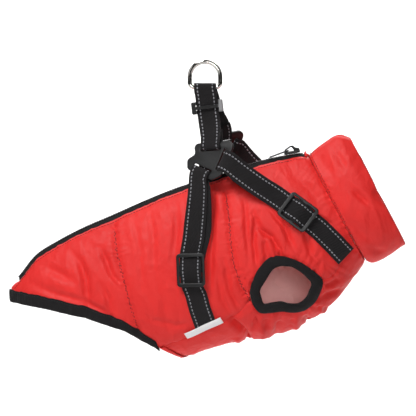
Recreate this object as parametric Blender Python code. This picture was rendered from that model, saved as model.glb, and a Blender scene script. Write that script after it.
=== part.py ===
"""Dog coat with a webbing harness, hanging hollow from its lead ring.

Run it in Blender 4.5. The tables are in millimetres and MM turns them into metres.
+X points to the neck, +Z up, and the side nearer a viewer at -Y is the near side. The
origin is the inside top of the lead ring, where a lead or a hook holds the coat up.
"""

from math import acos, cos, exp, hypot, pi, radians, sin

import bmesh
import bpy
import numpy as np
from mathutils import Matrix, Vector

MM = 0.001
NEAR = -1
FAR = 1
SIDES = (("near", NEAR), ("far", FAR))

# ---------------------------------------------------------------- driving sizes

WALL = 3.0             # lightly padded shell: nylon, wadding and lining
COLLAR_WALL = 5.0      # the collar is padded twice
SEAM_GAP = 0.35        # between pieces that are sewn edge to edge
FULLNESS = 0.25        # the body is slimmer than an ellipse above and fuller below

ZIP_HALF = 9.0         # from the middle of the chain to the panel's edge
TAIL_SLIT = 1.6        # the same below the end of the zip, where the edges part
CHAIN_HALF = 2.3
ZIP_SINK = 0.9         # the tapes lie below the padded edges
ZIP_TAPE = 1.4
ZIP_START, ZIP_END = 0.8, 13.62
SLIDER_AT = 12.5

BINDING = 11.0         # width of the hem binding
BINDING_PROUD = 0.4
BAND_INSET = 1.1       # a leg band is set this far inside the leg hole's edge
BAND_PROUD = 1.2

WEBBING_WIDTH = 24.0
WEBBING = 1.6
LIFT_UNDER = 1.5       # middle of the webbing next to the cloth
LIFT_OVER = 3.5        # middle of the webbing that lies on another layer

RING_WIRE = 5.0
RING_HALF = 16.8       # half width of the ring, to the middle of its wire
RING_BAR_Z = -25.3     # the straight bar that the top strap goes over

PLATE = 3.2            # thickness of a Y connector
SLOT = 3.6
SLOT_LENGTH = 25.6
CONNECTOR_BAR = 6.0

FRAME = 3.0            # thickness of a strap adjuster
FRAME_WIDTH, FRAME_LENGTH = 31.0, 36.5
FRAME_BAR = 4.4
FRAME_SLOT = 12.0
FRAME_LIFT = 6.3       # middle of the frame above the cloth

# ---------------------------------------------------------------- forms, as seen from the side

# A section leans forward from a point on the spine to one on the keel.
BODY = (
    # place          spine x, z       keel x, z      half width
    ("tail end",    -221, -254.0,    -218, -280.0,   12),
    ("tail",        -208, -238.0,    -202, -294.0,   24),
    ("rump back",   -190, -216.0,    -180, -308.0,   33),
    ("rump",        -167, -201.0,    -150, -320.0,   40),
    ("hip",         -137, -185.0,    -107, -331.0,   45),
    ("tail quilt",  -103, -170.0,     -57, -335.0,   48),
    ("loin",         -69, -154.5,     -22, -330.0,   50),
    ("waist",        -38, -141.5,       6, -320.0,   51),
    ("mid back",      -8, -131.0,      38, -310.5,   52),
    ("chest quilt",   24, -121.0,      72, -306.0,   53),
    ("chest",         50, -111.5,     101, -295.0,   52),
    ("shoulder",      72, -105.0,     126, -281.0,   50),
    ("foreleg",       90, -100.5,     147, -262.5,   46),
    ("neck base",    103,  -98.0,     164, -240.0,   42),
    ("neck seam",    113,  -98.5,     179, -218.5,   38),
)
COLLAR = (
    ("neck seam",  113.5,  -98.1,   179.5, -218.1,   39.5),
    ("roll",       128.5,  -86.5,   190.5, -219.0,   42),
    ("middle",     145.0,  -76.0,   207.0, -209.5,   41),
    ("mouth",      160.0,  -78.5,   224.0, -198.5,   36),
)

# Edges of the cut pieces, side view x, z on the near side.
HEM = ((-226, -268), (-213, -267.5), (-200, -268), (-176, -270), (-153, -274), (-130, -278),
       (-108, -285), (-86, -292), (-64, -305), (-53, -312), (-43, -320), (-36, -326))
BELLY_SEAM = ((-60, -316), (-42, -309), (-20, -300), (23, -280), (40, -268.5))
CHEST_SEAM = ((140, -229), (145, -225), (150, -217), (164, -198), (172, -190))
LEG_HOLE = ((83, -203), (71, -206), (60, -218), (55, -229), (51, -242), (54, -258),
            (62, -269), (74, -269.5), (87, -268.5), (98, -270.5), (111, -269), (123, -260),
            (130, -246), (132, -233), (125, -224), (111, -213), (97, -206))
LEG_OPENING = ((84, -215), (76, -219), (69, -230), (62.5, -242), (64, -251), (67, -258),
               (76, -257), (86, -256), (94, -258.5), (105, -259), (113, -253), (117, -244),
               (119, -235), (111, -225), (100, -217), (92, -215))

# The far side hangs limp: cloth lies in folds over its leg hole, which sits higher and
# flatter than the spread near one.
FAR_HOLE_RAISE, FAR_HOLE_FLAT = 28.0, 0.3
FAR_HOLE_X, FAR_HOLE_REACH = 92.0, 55.0

SEAM_START = 5.36      # here the side panel's lower edge leaves the hem for the belly seam
BELLY_BOUND = 5.38     # place on the body table where the belly panel's binding starts
BELLY_START = 5.56     # and where the panel itself starts
BELLY_BOW = 0.6        # its rear edge lies this much further forward at the keel

# Rows of stitches that pull the padding down: outer face only.
QUILTING = (
    # place            depth, half width, route
    ("tail quilting",   1.7, 5.5, ((-103, -176), (-95, -200), (-89, -219), (-81, -240),
                                   (-74, -264), (-68, -290))),
    ("chest quilting",  1.5, 5.5, ((26, -136), (30, -159), (32, -183), (39, -214),
                                   (46, -239), (54, -259))),
)
# Folds of the whole wall, pressed in by their depth.
FOLDS = (
    ("tail hollow",      2.6, 9.0, ((-137, -209), (-127, -227), (-125, -262))),
    ("rump crease",      2.2, 6.0, ((-110, -236), (-99, -270))),
    ("above the hem",    1.6, 6.5, ((-203, -252), (-176, -253), (-140, -257))),
    ("rump dimple",      2.2, 8.0, ((-179, -221), (-172, -238))),
    ("loin furrow",      1.3, 7.0, ((-66, -168), (-59, -191), (-55, -220))),
    ("strap furrow",     1.7, 8.0, ((-37, -147), (-34, -170), (-37, -205))),
    ("behind the leg",   2.8, 7.0, ((26, -209), (37, -236), (46, -262))),
    ("leg furrow",       2.8, 5.5, ((60, -161), (60, -187), (60, -212))),
    ("leg gather",       2.0, 5.0, ((86, -178), (86, -198))),
    ("shoulder drag",    2.6, 6.5, ((76, -164), (98, -188))),
    ("front gather",     2.0, 5.0, ((112, -186), (118, -204))),
    ("belly pucker",     4.2, 6.0, ((35, -280), (46, -294))),
    ("belly notch",      4.0, 5.0, ((47, -293), (52, -312))),
    ("under leg fold",   3.0, 6.0, ((86, -278), (79, -303))),
    ("chest gather",     2.6, 5.5, ((111, -275), (120, -292))),
    ("chest fold",       2.8, 6.0, ((128, -253), (152, -248))),
    ("neck dent",        1.6, 7.0, ((95, -113), (130, -150))),
    ("belly bulge",     -1.8, 7.0, ((36, -300), (39, -312))),
    ("under leg bulge", -2.0, 8.0, ((64, -284), (68, -306))),
    ("chest bulge",     -2.0, 7.0, ((99, -278), (104, -296))),
    ("brisket bulge",   -1.6, 8.0, ((128, -266), (136, -276))),
)
COLLAR_FOLDS = (
    ("short crease",     2.2, 5.0, ((166, -139), (181, -154))),
    ("lower hollow",     2.2, 9.0, ((160, -168), (184, -194))),
    ("mouth dent",       2.6, 8.0, ((182, -131), (200, -146))),
    ("back roll",        1.6, 8.0, ((122, -98), (140, -116))),
)
FAR_DRIFT = (5.0, 3.0)   # the far side creases alike, a little off these places

# ---------------------------------------------------------------- harness

CONNECTOR = (8.0, -24.0, -103.0)      # middle of the near Y connector
CONNECTOR_TURN, CONNECTOR_TILT = 30, 20
FAR_CONNECTOR_SHIFT = (9.0, 0.0, 6.0)  # the far one hangs a little forward and higher
CONNECTOR_SLOTS = {
    # strap     middle u, v    direction, degrees
    "top":   ((-2.5, 11.5),    8),
    "rear":  ((-8.5, -10.5),  164),
    "front": ((13.5, 0.8),    255),
}
CONNECTOR_OUTLINE = (
    # u, v, corner radius
    (-26.0, 16.1, 5), (27.6, 23.6, 7), (16.5, -17.5, 4), (6.0, -22.8, 5), (-28.0, -13.0, 5),
    (-30.5, -2.0, 5), (-21.0, 4.5, 4),
)

# Routes of the straps on the near side: side view x, z; "off" rows give y, "on" rows lie
# on the cloth.
REAR_ROUTE = (
    ("off", -5.5, -133, -28.6), ("off", -6.7, -151, -33.8), ("on", -8.0, -170, 0),
    ("on", -9.5, -186, 0), ("frame", -12.0, -221, 0), ("on", -6.5, -249, 0),
    ("on", -3.0, -263, 0), ("on", 2.0, -279, 0), ("on", 4.0, -286, 0),
)
FRONT_ROUTE = (
    ("off", 39.0, -114, -37.8), ("off", 60.0, -129, -38.2), ("on", 80.0, -143, 0),
    ("frame", 103.0, -158.5, 0), ("on", 128.0, -177, 0), ("on", 142.0, -191, 0),
    ("on", 155.5, -206, 0),
)
TOP_SLIDE_Z = -47.0
TOP_LAYER_Y = 2.7      # the two top layers lie this far each side of the middle here

LABEL_ROUTE = ((-19.0, -295.0), (1.0, -285.5), (21.0, -275.5))
LABEL_WIDTH, LABEL = 8.0, 0.8
LABEL_LIFT = 2.9

# ---------------------------------------------------------------- Blender helpers


def clear_scene():
    for found in list(bpy.data.objects):
        bpy.data.objects.remove(found, do_unlink=True)


def collection(name):
    made = bpy.data.collections.new(name)
    bpy.context.scene.collection.children.link(made)
    return made


def finish(name, colour, roughness, metallic=0.0):
    """A Principled material in plain colour."""
    made = bpy.data.materials.new(name)
    made.use_nodes = True
    shader = made.node_tree.nodes["Principled BSDF"]
    shader.inputs["Base Color"].default_value = (*colour, 1.0)
    shader.inputs["Roughness"].default_value = roughness
    shader.inputs["Metallic"].default_value = metallic
    return made


def add(name, data, material, matrix=None):
    made = bpy.data.objects.new(name, data)
    COAT.objects.link(made)
    data.materials.append(material)
    if matrix is not None:
        made.matrix_world = matrix
    return made


# ---------------------------------------------------------------- surfaces


def numbers(table):
    return np.array([row[1:] for row in table], float)


def smooth(rows, at):
    """The row at a place between the rows of a table, on a Catmull-Rom curve."""
    last = len(rows) - 1
    at = min(max(at, 0.0), float(last))
    start = min(int(at), last - 1)
    f = at - start

    def row(k):
        if k < 0:
            return 2 * rows[0] - rows[1]
        if k > last:
            return 2 * rows[last] - rows[last - 1]
        return rows[k]

    a, b, c, d = (row(start + k) for k in (-1, 0, 1, 2))
    return 0.5 * (2 * b + (c - a) * f + (2 * a - 5 * b + 4 * c - d) * f**2
                  + (3 * b - a - 3 * c + d) * f**3)


def plain_skin(rows, at, phi):
    """A point of the filled out form. phi runs from the spine: near side +, far side -."""
    spine_x, spine_z, keel_x, keel_z, half = smooth(rows, at)
    down = (1 - cos(phi)) / 2
    return np.array([
        spine_x + (keel_x - spine_x) * down,
        -half * sin(phi) * (1 - FULLNESS * cos(phi)),
        spine_z + (keel_z - spine_z) * down,
    ])


def skin_normal(rows, at, phi, step=0.02):
    low, high = max(at - step, 0.0), min(at + step, len(rows) - 1.0)
    along = plain_skin(rows, high, phi) - plain_skin(rows, low, phi)
    around = plain_skin(rows, at, phi + step) - plain_skin(rows, at, phi - step)
    out = np.cross(around, along)
    return out / np.linalg.norm(out)


def distance_to(route, x, z):
    best = 1e9
    for (x0, z0), (x1, z1) in zip(route, route[1:]):
        dx, dz = x1 - x0, z1 - z0
        f = ((x - x0) * dx + (z - z0) * dz) / (dx * dx + dz * dz)
        f = min(max(f, 0.0), 1.0)
        best = min(best, hypot(x - x0 - f * dx, z - z0 - f * dz))
    return best


def pressed(rows_of_folds, point):
    """How far a table of folds presses the cloth in at a point."""
    x, y, z = point
    if y > 0:
        x, z = x + FAR_DRIFT[0], z + FAR_DRIFT[1]
    return sum(depth * exp(-(distance_to(route, x, z) / half) ** 2)
               for _, depth, half, route in rows_of_folds)


def cloth_point(rows, at, phi, lift=0.0, folds=FOLDS):
    base = plain_skin(rows, at, phi)
    return base + skin_normal(rows, at, phi) * (lift - pressed(folds, base))


def arc_table(rows, at, count=73):
    """phi against the length round the section from the spine, on one side."""
    phis = np.linspace(0.0, pi, count)
    points = np.array([plain_skin(rows, at, phi) for phi in phis])
    steps = np.linalg.norm(np.diff(points, axis=0), axis=1)
    return phis, np.concatenate([[0.0], np.cumsum(steps)])


def phi_at(rows, at, arc):
    phis, arcs = arc_table(rows, at)
    return float(np.interp(arc, arcs, phis))


def arc_at(rows, at, phi):
    phis, arcs = arc_table(rows, at)
    return float(np.interp(phi, phis, arcs))


def even_phis(rows, at, first, last, count):
    """phi values at even steps of length from first to last; last may pass the keel."""
    phis, arcs = arc_table(rows, at)
    girth = 2 * arcs[-1]
    phis = np.concatenate([phis, 2 * pi - phis[-2::-1]])
    arcs = np.concatenate([arcs, girth - arcs[-2::-1]])
    ends = np.interp([first, last], phis, arcs)
    return np.interp(np.linspace(ends[0], ends[1], count), arcs, phis)


def crossings(rows, at, curve):
    """Where the section at a place crosses a curve of the side view, as phi values."""
    spine_x, spine_z, keel_x, keel_z, _ = smooth(rows, at)
    line = np.array([keel_x - spine_x, keel_z - spine_z])
    found = []
    for start, end in zip(curve, curve[1:]):
        edge = np.array([end[0] - start[0], end[1] - start[1]])
        gap = np.array([start[0] - spine_x, start[1] - spine_z])
        turn = line[0] * edge[1] - line[1] * edge[0]
        if abs(turn) < 1e-9:
            continue
        down = (gap[0] * edge[1] - gap[1] * edge[0]) / turn
        along = (gap[0] * line[1] - gap[1] * line[0]) / turn
        if 0 <= along <= 1 and 0 < down < 1:
            found.append(acos(1 - 2 * down))
    return sorted(found)


def place_of(rows, x, z):
    """The place and phi of a point of the side view, by halving."""
    def off(at):
        spine_x, spine_z, keel_x, keel_z, _ = smooth(rows, at)
        return (keel_x - spine_x) * (z - spine_z) - (keel_z - spine_z) * (x - spine_x)

    low, high = 0.0, len(rows) - 1.0
    for _ in range(40):
        middle = (low + high) / 2
        if off(middle) > 0:
            low = middle
        else:
            high = middle
    spine_x, spine_z, keel_x, keel_z, _ = smooth(rows, low)
    down = (z - spine_z) / (keel_z - spine_z)
    return low, acos(1 - 2 * min(max(down, 0.0), 1.0))


def on_side(x, z, side, lift=0.0):
    """The point on the plain body form over a point of the side view, and its normal."""
    at, phi = place_of(BODY_ROWS, x, z)
    phi = -side * phi
    normal = skin_normal(BODY_ROWS, at, phi)
    return plain_skin(BODY_ROWS, at, phi) + normal * lift, normal


def round_curve(points, count):
    """A closed Catmull-Rom curve through the points, at even parameter steps."""
    points = np.array(points, float)
    total = len(points)
    curve = []
    for k in range(count):
        at = k * total / count
        start = int(at)
        f = at - start
        a, b, c, d = (points[(start + j) % total] for j in (-1, 0, 1, 2))
        curve.append(0.5 * (2 * b + (c - a) * f + (2 * a - 5 * b + 4 * c - d) * f**2
                            + (3 * b - a - 3 * c + d) * f**3))
    return [tuple(point) for point in curve]


# ---------------------------------------------------------------- solids


def wall(name, outer, inner, material, ring=False):
    """A closed sheet between two grids of points. A ring joins its last row to its first."""
    outer, inner = np.array(outer), np.array(inner)
    count, width = outer.shape[:2]
    mesh = bmesh.new()
    top = [[mesh.verts.new(point * MM) for point in row] for row in outer]
    low = [[mesh.verts.new(point * MM) for point in row] for row in inner]
    spans = count if ring else count - 1
    for i in range(spans):
        j = (i + 1) % count
        for k in range(width - 1):
            mesh.faces.new((top[i][k], top[j][k], top[j][k + 1], top[i][k + 1]))
            mesh.faces.new((low[i][k + 1], low[j][k + 1], low[j][k], low[i][k]))
        mesh.faces.new((top[j][0], top[i][0], low[i][0], low[j][0]))
        mesh.faces.new((top[i][-1], top[j][-1], low[j][-1], low[i][-1]))
    if not ring:
        for k in range(width - 1):
            mesh.faces.new((top[0][k], top[0][k + 1], low[0][k + 1], low[0][k]))
            mesh.faces.new((top[-1][k + 1], top[-1][k], low[-1][k], low[-1][k + 1]))
    bmesh.ops.recalc_face_normals(mesh, faces=mesh.faces)
    data = bpy.data.meshes.new(name)
    mesh.to_mesh(data)
    mesh.free()
    data.shade_smooth()
    data.set_sharp_from_angle(angle=radians(40))
    return add(name, data, material)


def panel(name, rows, places, edges, count, material, thick=WALL, folds=FOLDS,
          quilting=QUILTING, side=NEAR, proud=0.0, bow=None):
    """A cut piece of cloth: edges(at) gives its first and last phi at each place, and
    bow(at) how much further forward its middle lies."""
    outer, inner = [], []
    for at in places:
        first, last = edges(at)
        phis = even_phis(rows, at, first, last, count)
        outer_row, inner_row = [], []
        for k, phi in enumerate(phis):
            turned = phi * -side
            spot = at + (bow(at) * sin(pi * k / (count - 1)) if bow else 0.0)
            base = plain_skin(rows, spot, turned)
            outer_row.append(cloth_point(rows, spot, turned,
                                         proud - pressed(quilting, base), folds))
            inner_row.append(cloth_point(rows, spot, turned, -thick, folds))
        outer.append(outer_row)
        inner.append(inner_row)
    return wall(name, outer, inner, material)


def ribbon(name, points, across, width, thick, material):
    """Webbing along points, each with the direction across it."""
    points = np.array(points, float)
    along = np.gradient(points, axis=0)
    outer, inner = [], []
    for point, way, side_way in zip(points, along, across):
        way = way / np.linalg.norm(way)
        side_way = side_way - way * np.dot(side_way, way)
        side_way = side_way / np.linalg.norm(side_way)
        out = np.cross(way, side_way)
        edges = [point - side_way * width / 2, point + side_way * width / 2]
        outer.append([edge + out * thick / 2 for edge in edges])
        inner.append([edge - out * thick / 2 for edge in edges])
    return wall(name, outer, inner, material)


def rounded(corners, steps=4):
    """The outline with each corner (x, y, radius) turned into an arc."""
    outline = []
    count = len(corners)
    for k, (x, y, radius) in enumerate(corners):
        corner = Vector((x, y))
        back = (Vector(corners[k - 1][:2]) - corner).normalized()
        ahead = (Vector(corners[(k + 1) % count][:2]) - corner).normalized()
        half = back.angle(ahead) / 2
        middle = corner + (back + ahead).normalized() * (radius / sin(half))
        first = corner + back * (radius * cos(half) / sin(half)) - middle
        last = corner + ahead * (radius * cos(half) / sin(half)) - middle
        for step in range(steps + 1):
            spoke = first.lerp(last, step / steps).normalized() * radius
            outline.append(middle + spoke)
    return outline


def box_outline(width, height, radius, centre=(0.0, 0.0), turn=0.0, steps=2):
    """The rounded corners of a box, turned about its centre."""
    c, s = cos(turn), sin(turn)
    corners = []
    for x, y in ((-1, -1), (1, -1), (1, 1), (-1, 1)):
        x, y = x * width / 2, y * height / 2
        corners.append((centre[0] + x * c - y * s, centre[1] + x * s + y * c, radius))
    return rounded(corners, steps)


def plate(name, outlines, thick, matrix, material, edge=0.0):
    """A flat piece from its outline and the outlines of its holes."""
    curve = bpy.data.curves.new(name, "CURVE")
    curve.dimensions = "2D"
    curve.fill_mode = "BOTH"
    curve.extrude = (thick / 2 - edge) * MM
    curve.bevel_depth = edge * MM
    curve.bevel_resolution = 0
    curve.offset = -edge * MM
    for outline in outlines:
        spline = curve.splines.new("POLY")
        spline.points.add(len(outline) - 1)
        for point, (x, y) in zip(spline.points, outline):
            point.co = (x * MM, y * MM, 0.0, 1.0)
        spline.use_cyclic_u = True
    return add(name, curve, material, matrix)


def as_mesh(curve_object):
    """The same piece as a mesh object, to be joined to another."""
    bpy.context.view_layer.update()
    depsgraph = bpy.context.evaluated_depsgraph_get()
    data = bpy.data.meshes.new_from_object(curve_object.evaluated_get(depsgraph))
    mesh = bmesh.new()
    mesh.from_mesh(data)
    bmesh.ops.remove_doubles(mesh, verts=mesh.verts, dist=0.01 * MM)
    bmesh.ops.recalc_face_normals(mesh, faces=mesh.faces)
    mesh.to_mesh(data)
    mesh.free()
    name, matrix = curve_object.name, curve_object.matrix_world.copy()
    bpy.data.objects.remove(curve_object, do_unlink=True)
    made = bpy.data.objects.new(name, data)
    COAT.objects.link(made)
    made.matrix_world = matrix
    return made


def place_matrix(origin, u, v):
    """Local x and y along u and v, which are square to each other."""
    u, v = Vector(u).normalized(), Vector(v).normalized()
    turned = Matrix((u, v, u.cross(v))).transposed().to_4x4()
    return Matrix.Translation(Vector(origin) * MM) @ turned


def block(name, size, centre, matrix, material, bevel=0.0):
    """A box as its own object, in the millimetres of a local frame."""
    mesh = bmesh.new()
    bmesh.ops.create_cube(mesh, size=1.0)
    bmesh.ops.scale(mesh, vec=Vector(size) * MM, verts=mesh.verts)
    bmesh.ops.translate(mesh, vec=Vector(centre) * MM, verts=mesh.verts)
    if bevel:
        bmesh.ops.bevel(mesh, geom=mesh.edges[:], offset=bevel * MM, segments=1,
                        affect="EDGES", profile=0.5)
    data = bpy.data.meshes.new(name)
    mesh.to_mesh(data)
    mesh.free()
    return add(name, data, material, matrix)


def combine(base, others, operation):
    """Boolean each other object into base; cutters stay hidden in their collection."""
    for other in others:
        COAT.objects.unlink(other)
        CUTTERS.objects.link(other)
        other.hide_render = True
        other.display_type = "WIRE"
        modifier = base.modifiers.new(other.name, "BOOLEAN")
        modifier.operation = operation
        modifier.solver = "EXACT"
        modifier.object = other
    return base


# ---------------------------------------------------------------- cloth pieces


def zip_edge(at):
    """Length from the spine to a side panel's zip edge: a slit below the zip's end."""
    f = min(max((at - 0.3) / 0.4, 0.0), 1.0)
    return TAIL_SLIT + (ZIP_HALF - TAIL_SLIT) * f


def hem_arc(at):
    return arc_at(BODY_ROWS, at, crossings(BODY_ROWS, at, HEM)[0])


def hang(points, side):
    """Points of the side view as they lie on one side."""
    if side == NEAR:
        return [tuple(point) for point in points]
    moved = []
    for x, z in points:
        up = FAR_HOLE_RAISE * exp(-((x - FAR_HOLE_X) / FAR_HOLE_REACH) ** 2)
        moved.append((x, z + up * (1 + FAR_HOLE_FLAT * (-237 - z) / 33)))
    return moved


def cut_lines(side):
    """Belly seam, leg hole and chest seam of one side, joined at the hole's two ends."""
    hole = round_curve(hang(LEG_HOLE, side), 96)
    at = [place_of(BODY_ROWS, x, z)[0] for x, z in hole]
    rear, front = hole[at.index(min(at))], hole[at.index(max(at))]
    belly = [*hang(BELLY_SEAM, side), rear, (rear[0] + 4, rear[1] + 2)]
    chest = [(front[0] - 4, front[1] - 1), front, *hang(CHEST_SEAM, side)]
    return {"belly": belly, "chest": chest, "hole": [*hole, hole[0]],
            "rear": min(at) + 0.015, "front": max(at) - 0.015}


def side_low(at, side=NEAR):
    """Lower edge of a side panel: hem, belly seam, leg hole, chest seam."""
    lines = LINES[side]
    if at < SEAM_START:
        return phi_at(BODY_ROWS, at, hem_arc(at) - BINDING)
    if at < lines["rear"]:
        return crossings(BODY_ROWS, at, lines["belly"])[0]
    if at < lines["front"]:
        return crossings(BODY_ROWS, at, lines["hole"])[0]
    return crossings(BODY_ROWS, at, lines["chest"])[-1]


def belly_high(at, side):
    """Upper edge of the belly panel, just below the side panel's."""
    lines = LINES[side]
    if lines["rear"] <= at < lines["front"]:
        edge = crossings(BODY_ROWS, at, lines["hole"])[-1]
    else:
        edge = side_low(max(at, SEAM_START), side)
    return phi_at(BODY_ROWS, at, arc_at(BODY_ROWS, at, edge) + SEAM_GAP)


def belly_edges(at):
    return belly_high(at, NEAR), 2 * pi - belly_high(at, FAR)


def belly_bow(at):
    return BELLY_BOW * max(0.0, 1 - (at - BELLY_BOUND) / 2.5) ** 1.5


def places(first, last, spacing, extra=()):
    """Even places along the body, with some that have to be there."""
    keep = [place for place in extra if first < place < last]
    evenly = np.arange(first, last, spacing)
    evenly = [at for at in evenly if all(abs(at - place) > spacing / 3 for place in keep)]
    if last - evenly[-1] < spacing / 3:
        evenly.pop()
    return sorted([*evenly, *keep, last])


def cutting_places():
    """The places where the side panels and the belly panel have points."""
    extra = [0.3, 0.72, SEAM_START - 0.01, SEAM_START, BELLY_START]
    extra += [5.03 + step for step in (-0.2, 0.0, 0.2)]
    extra += [8.55, 8.76]
    for side in (NEAR, FAR):
        rear, front = LINES[side]["rear"], LINES[side]["front"]
        extra += [rear - 0.005, rear + 0.03, rear + 0.14, front - 0.14, front - 0.03,
                  front + 0.005]
    extra = [at for k, at in enumerate(sorted(extra))]
    return places(0.12, 14.0, 0.33, extra)


def side_panels():
    for word, side in SIDES:
        def edges(at, side=side):
            return phi_at(BODY_ROWS, at, zip_edge(at)), side_low(at, side)

        panel(f"side_panel_{word}", BODY_ROWS, CUTS, edges, 12, RED, side=side)


def belly_panel():
    stations = [at for at in CUTS if at >= BELLY_START]
    panel("belly_panel", BODY_ROWS, stations, belly_edges, 15, RED, bow=belly_bow)


def collar():
    slit = 4.5

    def edges(at):
        first = phi_at(COLLAR_ROWS, at, slit)
        return first, 2 * pi - first

    panel("collar", COLLAR_ROWS, places(0.0, 3.0, 0.34), edges, 37, RED,
          thick=COLLAR_WALL, folds=COLLAR_FOLDS, quilting=())


def strip(name, stations, low_edge, width, thick, proud, material, side=NEAR):
    """A narrow tape along the body, of a width measured up from its lower edge."""
    def edges(at):
        low = low_edge(at)
        return phi_at(BODY_ROWS, at, low - width), phi_at(BODY_ROWS, at, low)

    panel(name, BODY_ROWS, stations, edges, 2, material, thick=thick, proud=proud,
          quilting=(), side=side)


def hem_bindings():
    stations = [0.02, *[at for at in CUTS if at < SEAM_START]]
    for word, side in SIDES:
        strip(f"hem_binding_{word}", stations, hem_arc, BINDING - SEAM_GAP,
              WALL + BINDING_PROUD, BINDING_PROUD, BLACK_TAPE, side)
    panel("hem_binding_belly", BODY_ROWS, [BELLY_BOUND, BELLY_START - SEAM_GAP / 30],
          belly_edges, 15, RED, thick=WALL + BINDING_PROUD, proud=BINDING_PROUD,
          quilting=(), bow=belly_bow)


def leg_bands():
    count = 32
    for word, side in SIDES:
        hole = round_curve(hang(LEG_HOLE, side), count)
        opening = round_curve(hang(LEG_OPENING, side), count)
        outer, inner = [], []
        for (hole_x, hole_z), (open_x, open_z) in zip(hole, opening):
            reach = hypot(open_x - hole_x, open_z - hole_z)
            outer_row, inner_row = [], []
            for f, lift in ((BAND_INSET / reach, 0.0), (0.5, BAND_PROUD), (1.0, 0.4)):
                x = hole_x + (open_x - hole_x) * f
                z = hole_z + (open_z - hole_z) * f
                outer_row.append(on_side(x, z, side, lift)[0])
                inner_row.append(on_side(x, z, side, -WALL)[0])
            outer.append(outer_row)
            inner.append(inner_row)
        wall(f"leg_band_{word}", outer, inner, BLACK_TAPE, ring=True)


def zip_pieces():
    kept = [at for k, at in enumerate(CUTS) if k % 2 or at < 4 or at > 11]
    stations = [ZIP_START, *[at for at in kept if ZIP_START + 0.1 < at < ZIP_END - 0.1],
                ZIP_END]
    low = -ZIP_SINK - ZIP_TAPE
    for word, side in SIDES:
        strip(f"zip_tape_{word}", stations, lambda at: ZIP_HALF - SEAM_GAP,
              ZIP_HALF - CHAIN_HALF - 2 * SEAM_GAP, -low, -ZIP_SINK, BLACK_TAPE, side)

    outer, inner = [], []
    for at in stations:
        half = phi_at(BODY_ROWS, at, CHAIN_HALF)
        ways = (half, 0.0, -half)
        outer.append([cloth_point(BODY_ROWS, at, phi, 0.4) for phi in ways])
        inner.append([cloth_point(BODY_ROWS, at, phi, low) for phi in ways])
    wall("zip_chain", outer, inner, BLACK_PLASTIC)

    # the red tab that folds over the end of the tapes at the neck
    outer, inner = [], []
    for at in (ZIP_END + 0.03, ZIP_END + 0.3):
        half = phi_at(BODY_ROWS, at, ZIP_HALF - SEAM_GAP)
        ways = (half, 0.0, -half)
        outer.append([cloth_point(BODY_ROWS, at, phi, 2.6) for phi in ways])
        inner.append([cloth_point(BODY_ROWS, at, phi, low) for phi in ways])
    wall("zip_end_tab", outer, inner, RED)


# ---------------------------------------------------------------- hard parts


def zip_slider():
    """Slider with its bridge, and the pull tab that swings on a bar under the bridge."""
    spine = cloth_point(BODY_ROWS, SLIDER_AT, 0.0)
    ahead = cloth_point(BODY_ROWS, SLIDER_AT + 0.1, 0.0) - spine
    lean = np.array([ahead[0], 0.0, ahead[2]]) / np.linalg.norm(ahead)
    up = np.array([-lean[2], 0.0, lean[0]])
    flat = place_matrix(spine, lean, (0, 1, 0))
    upright = place_matrix(spine, lean, up)
    body = block("zip_slider", (18, 9, 2.2), (0, 0, 1.9), flat, BLACK_PLASTIC, 0.5)
    arch = [(-8.0, 2.4), (8.4, 2.4), (8.4, 5.2), (4.4, 6.4), (2.0, 9.2), (-0.8, 9.4),
            (-8.0, 6.2)]
    gap = [(-6.3, 3.4), (2.4, 3.4), (0.6, 7.6), (-0.9, 7.7), (-6.3, 5.4)]
    bridge = plate("slider_bridge", [arch, gap], 2.4, upright, BLACK_PLASTIC)
    combine(body, [as_mesh(bridge)], "UNION")

    hinge = spine + lean * PULL_HINGE[0] + up * PULL_HINGE[1]
    drop = radians(PULL_DROP)
    back = -lean * cos(drop) - up * sin(drop)
    matrix = place_matrix(hinge, back, (0, 1, 0))
    tab = rounded(((-0.8, -3.1, 0.7), (22.0, -2.6, 2.4), (22.0, 2.6, 2.4), (-0.8, 3.1, 0.7)))
    eye = box_outline(8.0, 3.2, 0.6, (4.8, 0.0))
    plate("zip_pull", [tab, eye], 1.3, matrix, BLACK_PLASTIC)
    return hinge


def connector_axes(side):
    turn, tilt = radians(CONNECTOR_TURN), radians(CONNECTOR_TILT)
    out = np.array([-sin(turn) * cos(tilt), side * cos(turn) * cos(tilt), sin(tilt)])
    u = np.array([cos(turn), side * sin(turn), 0.0])
    v = np.cross(out, u) * -side
    middle = np.array(CONNECTOR) * (1, -side, 1)
    if side == FAR:
        middle = middle + np.array(FAR_CONNECTOR_SHIFT)
    return middle, u, v, out


def connectors():
    for word, side in SIDES:
        middle, u, v, _ = connector_axes(side)
        outlines = [rounded(CONNECTOR_OUTLINE, 3)]
        for centre, angle in CONNECTOR_SLOTS.values():
            outlines.append(box_outline(SLOT_LENGTH, SLOT, 1.2, centre, radians(angle)))
        plate(f"y_connector_{word}", outlines, PLATE, place_matrix(middle, u, v),
              BLACK_PLASTIC, edge=0.5)


def slot_loop(strap, side):
    """Webbing round the outer bar of a slot, from behind to in front, and its directions."""
    middle, u, v, out = connector_axes(side)
    (slot_u, slot_v), angle = CONNECTOR_SLOTS[strap]
    angle = radians(angle)
    away = -sin(angle) * u + cos(angle) * v
    across = cos(angle) * u + sin(angle) * v
    half = CONNECTOR_BAR / 2
    bar = middle + slot_u * u + slot_v * v + away * (SLOT / 2 + half)
    face = PLATE / 2 + SEAM_GAP + WEBBING / 2
    turn = half + SEAM_GAP + WEBBING / 2
    path = ((half + 1, -face), (-half + 0.4, -face), (-turn + 0.35, -face * 0.72),
            (-turn, -face * 0.3), (-turn, face * 0.3), (-turn + 0.35, face * 0.72),
            (-half + 0.4, face), (half + 1, face))
    points = [bar + away * a + out * o for a, o in path]
    return points, away, across, out


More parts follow.
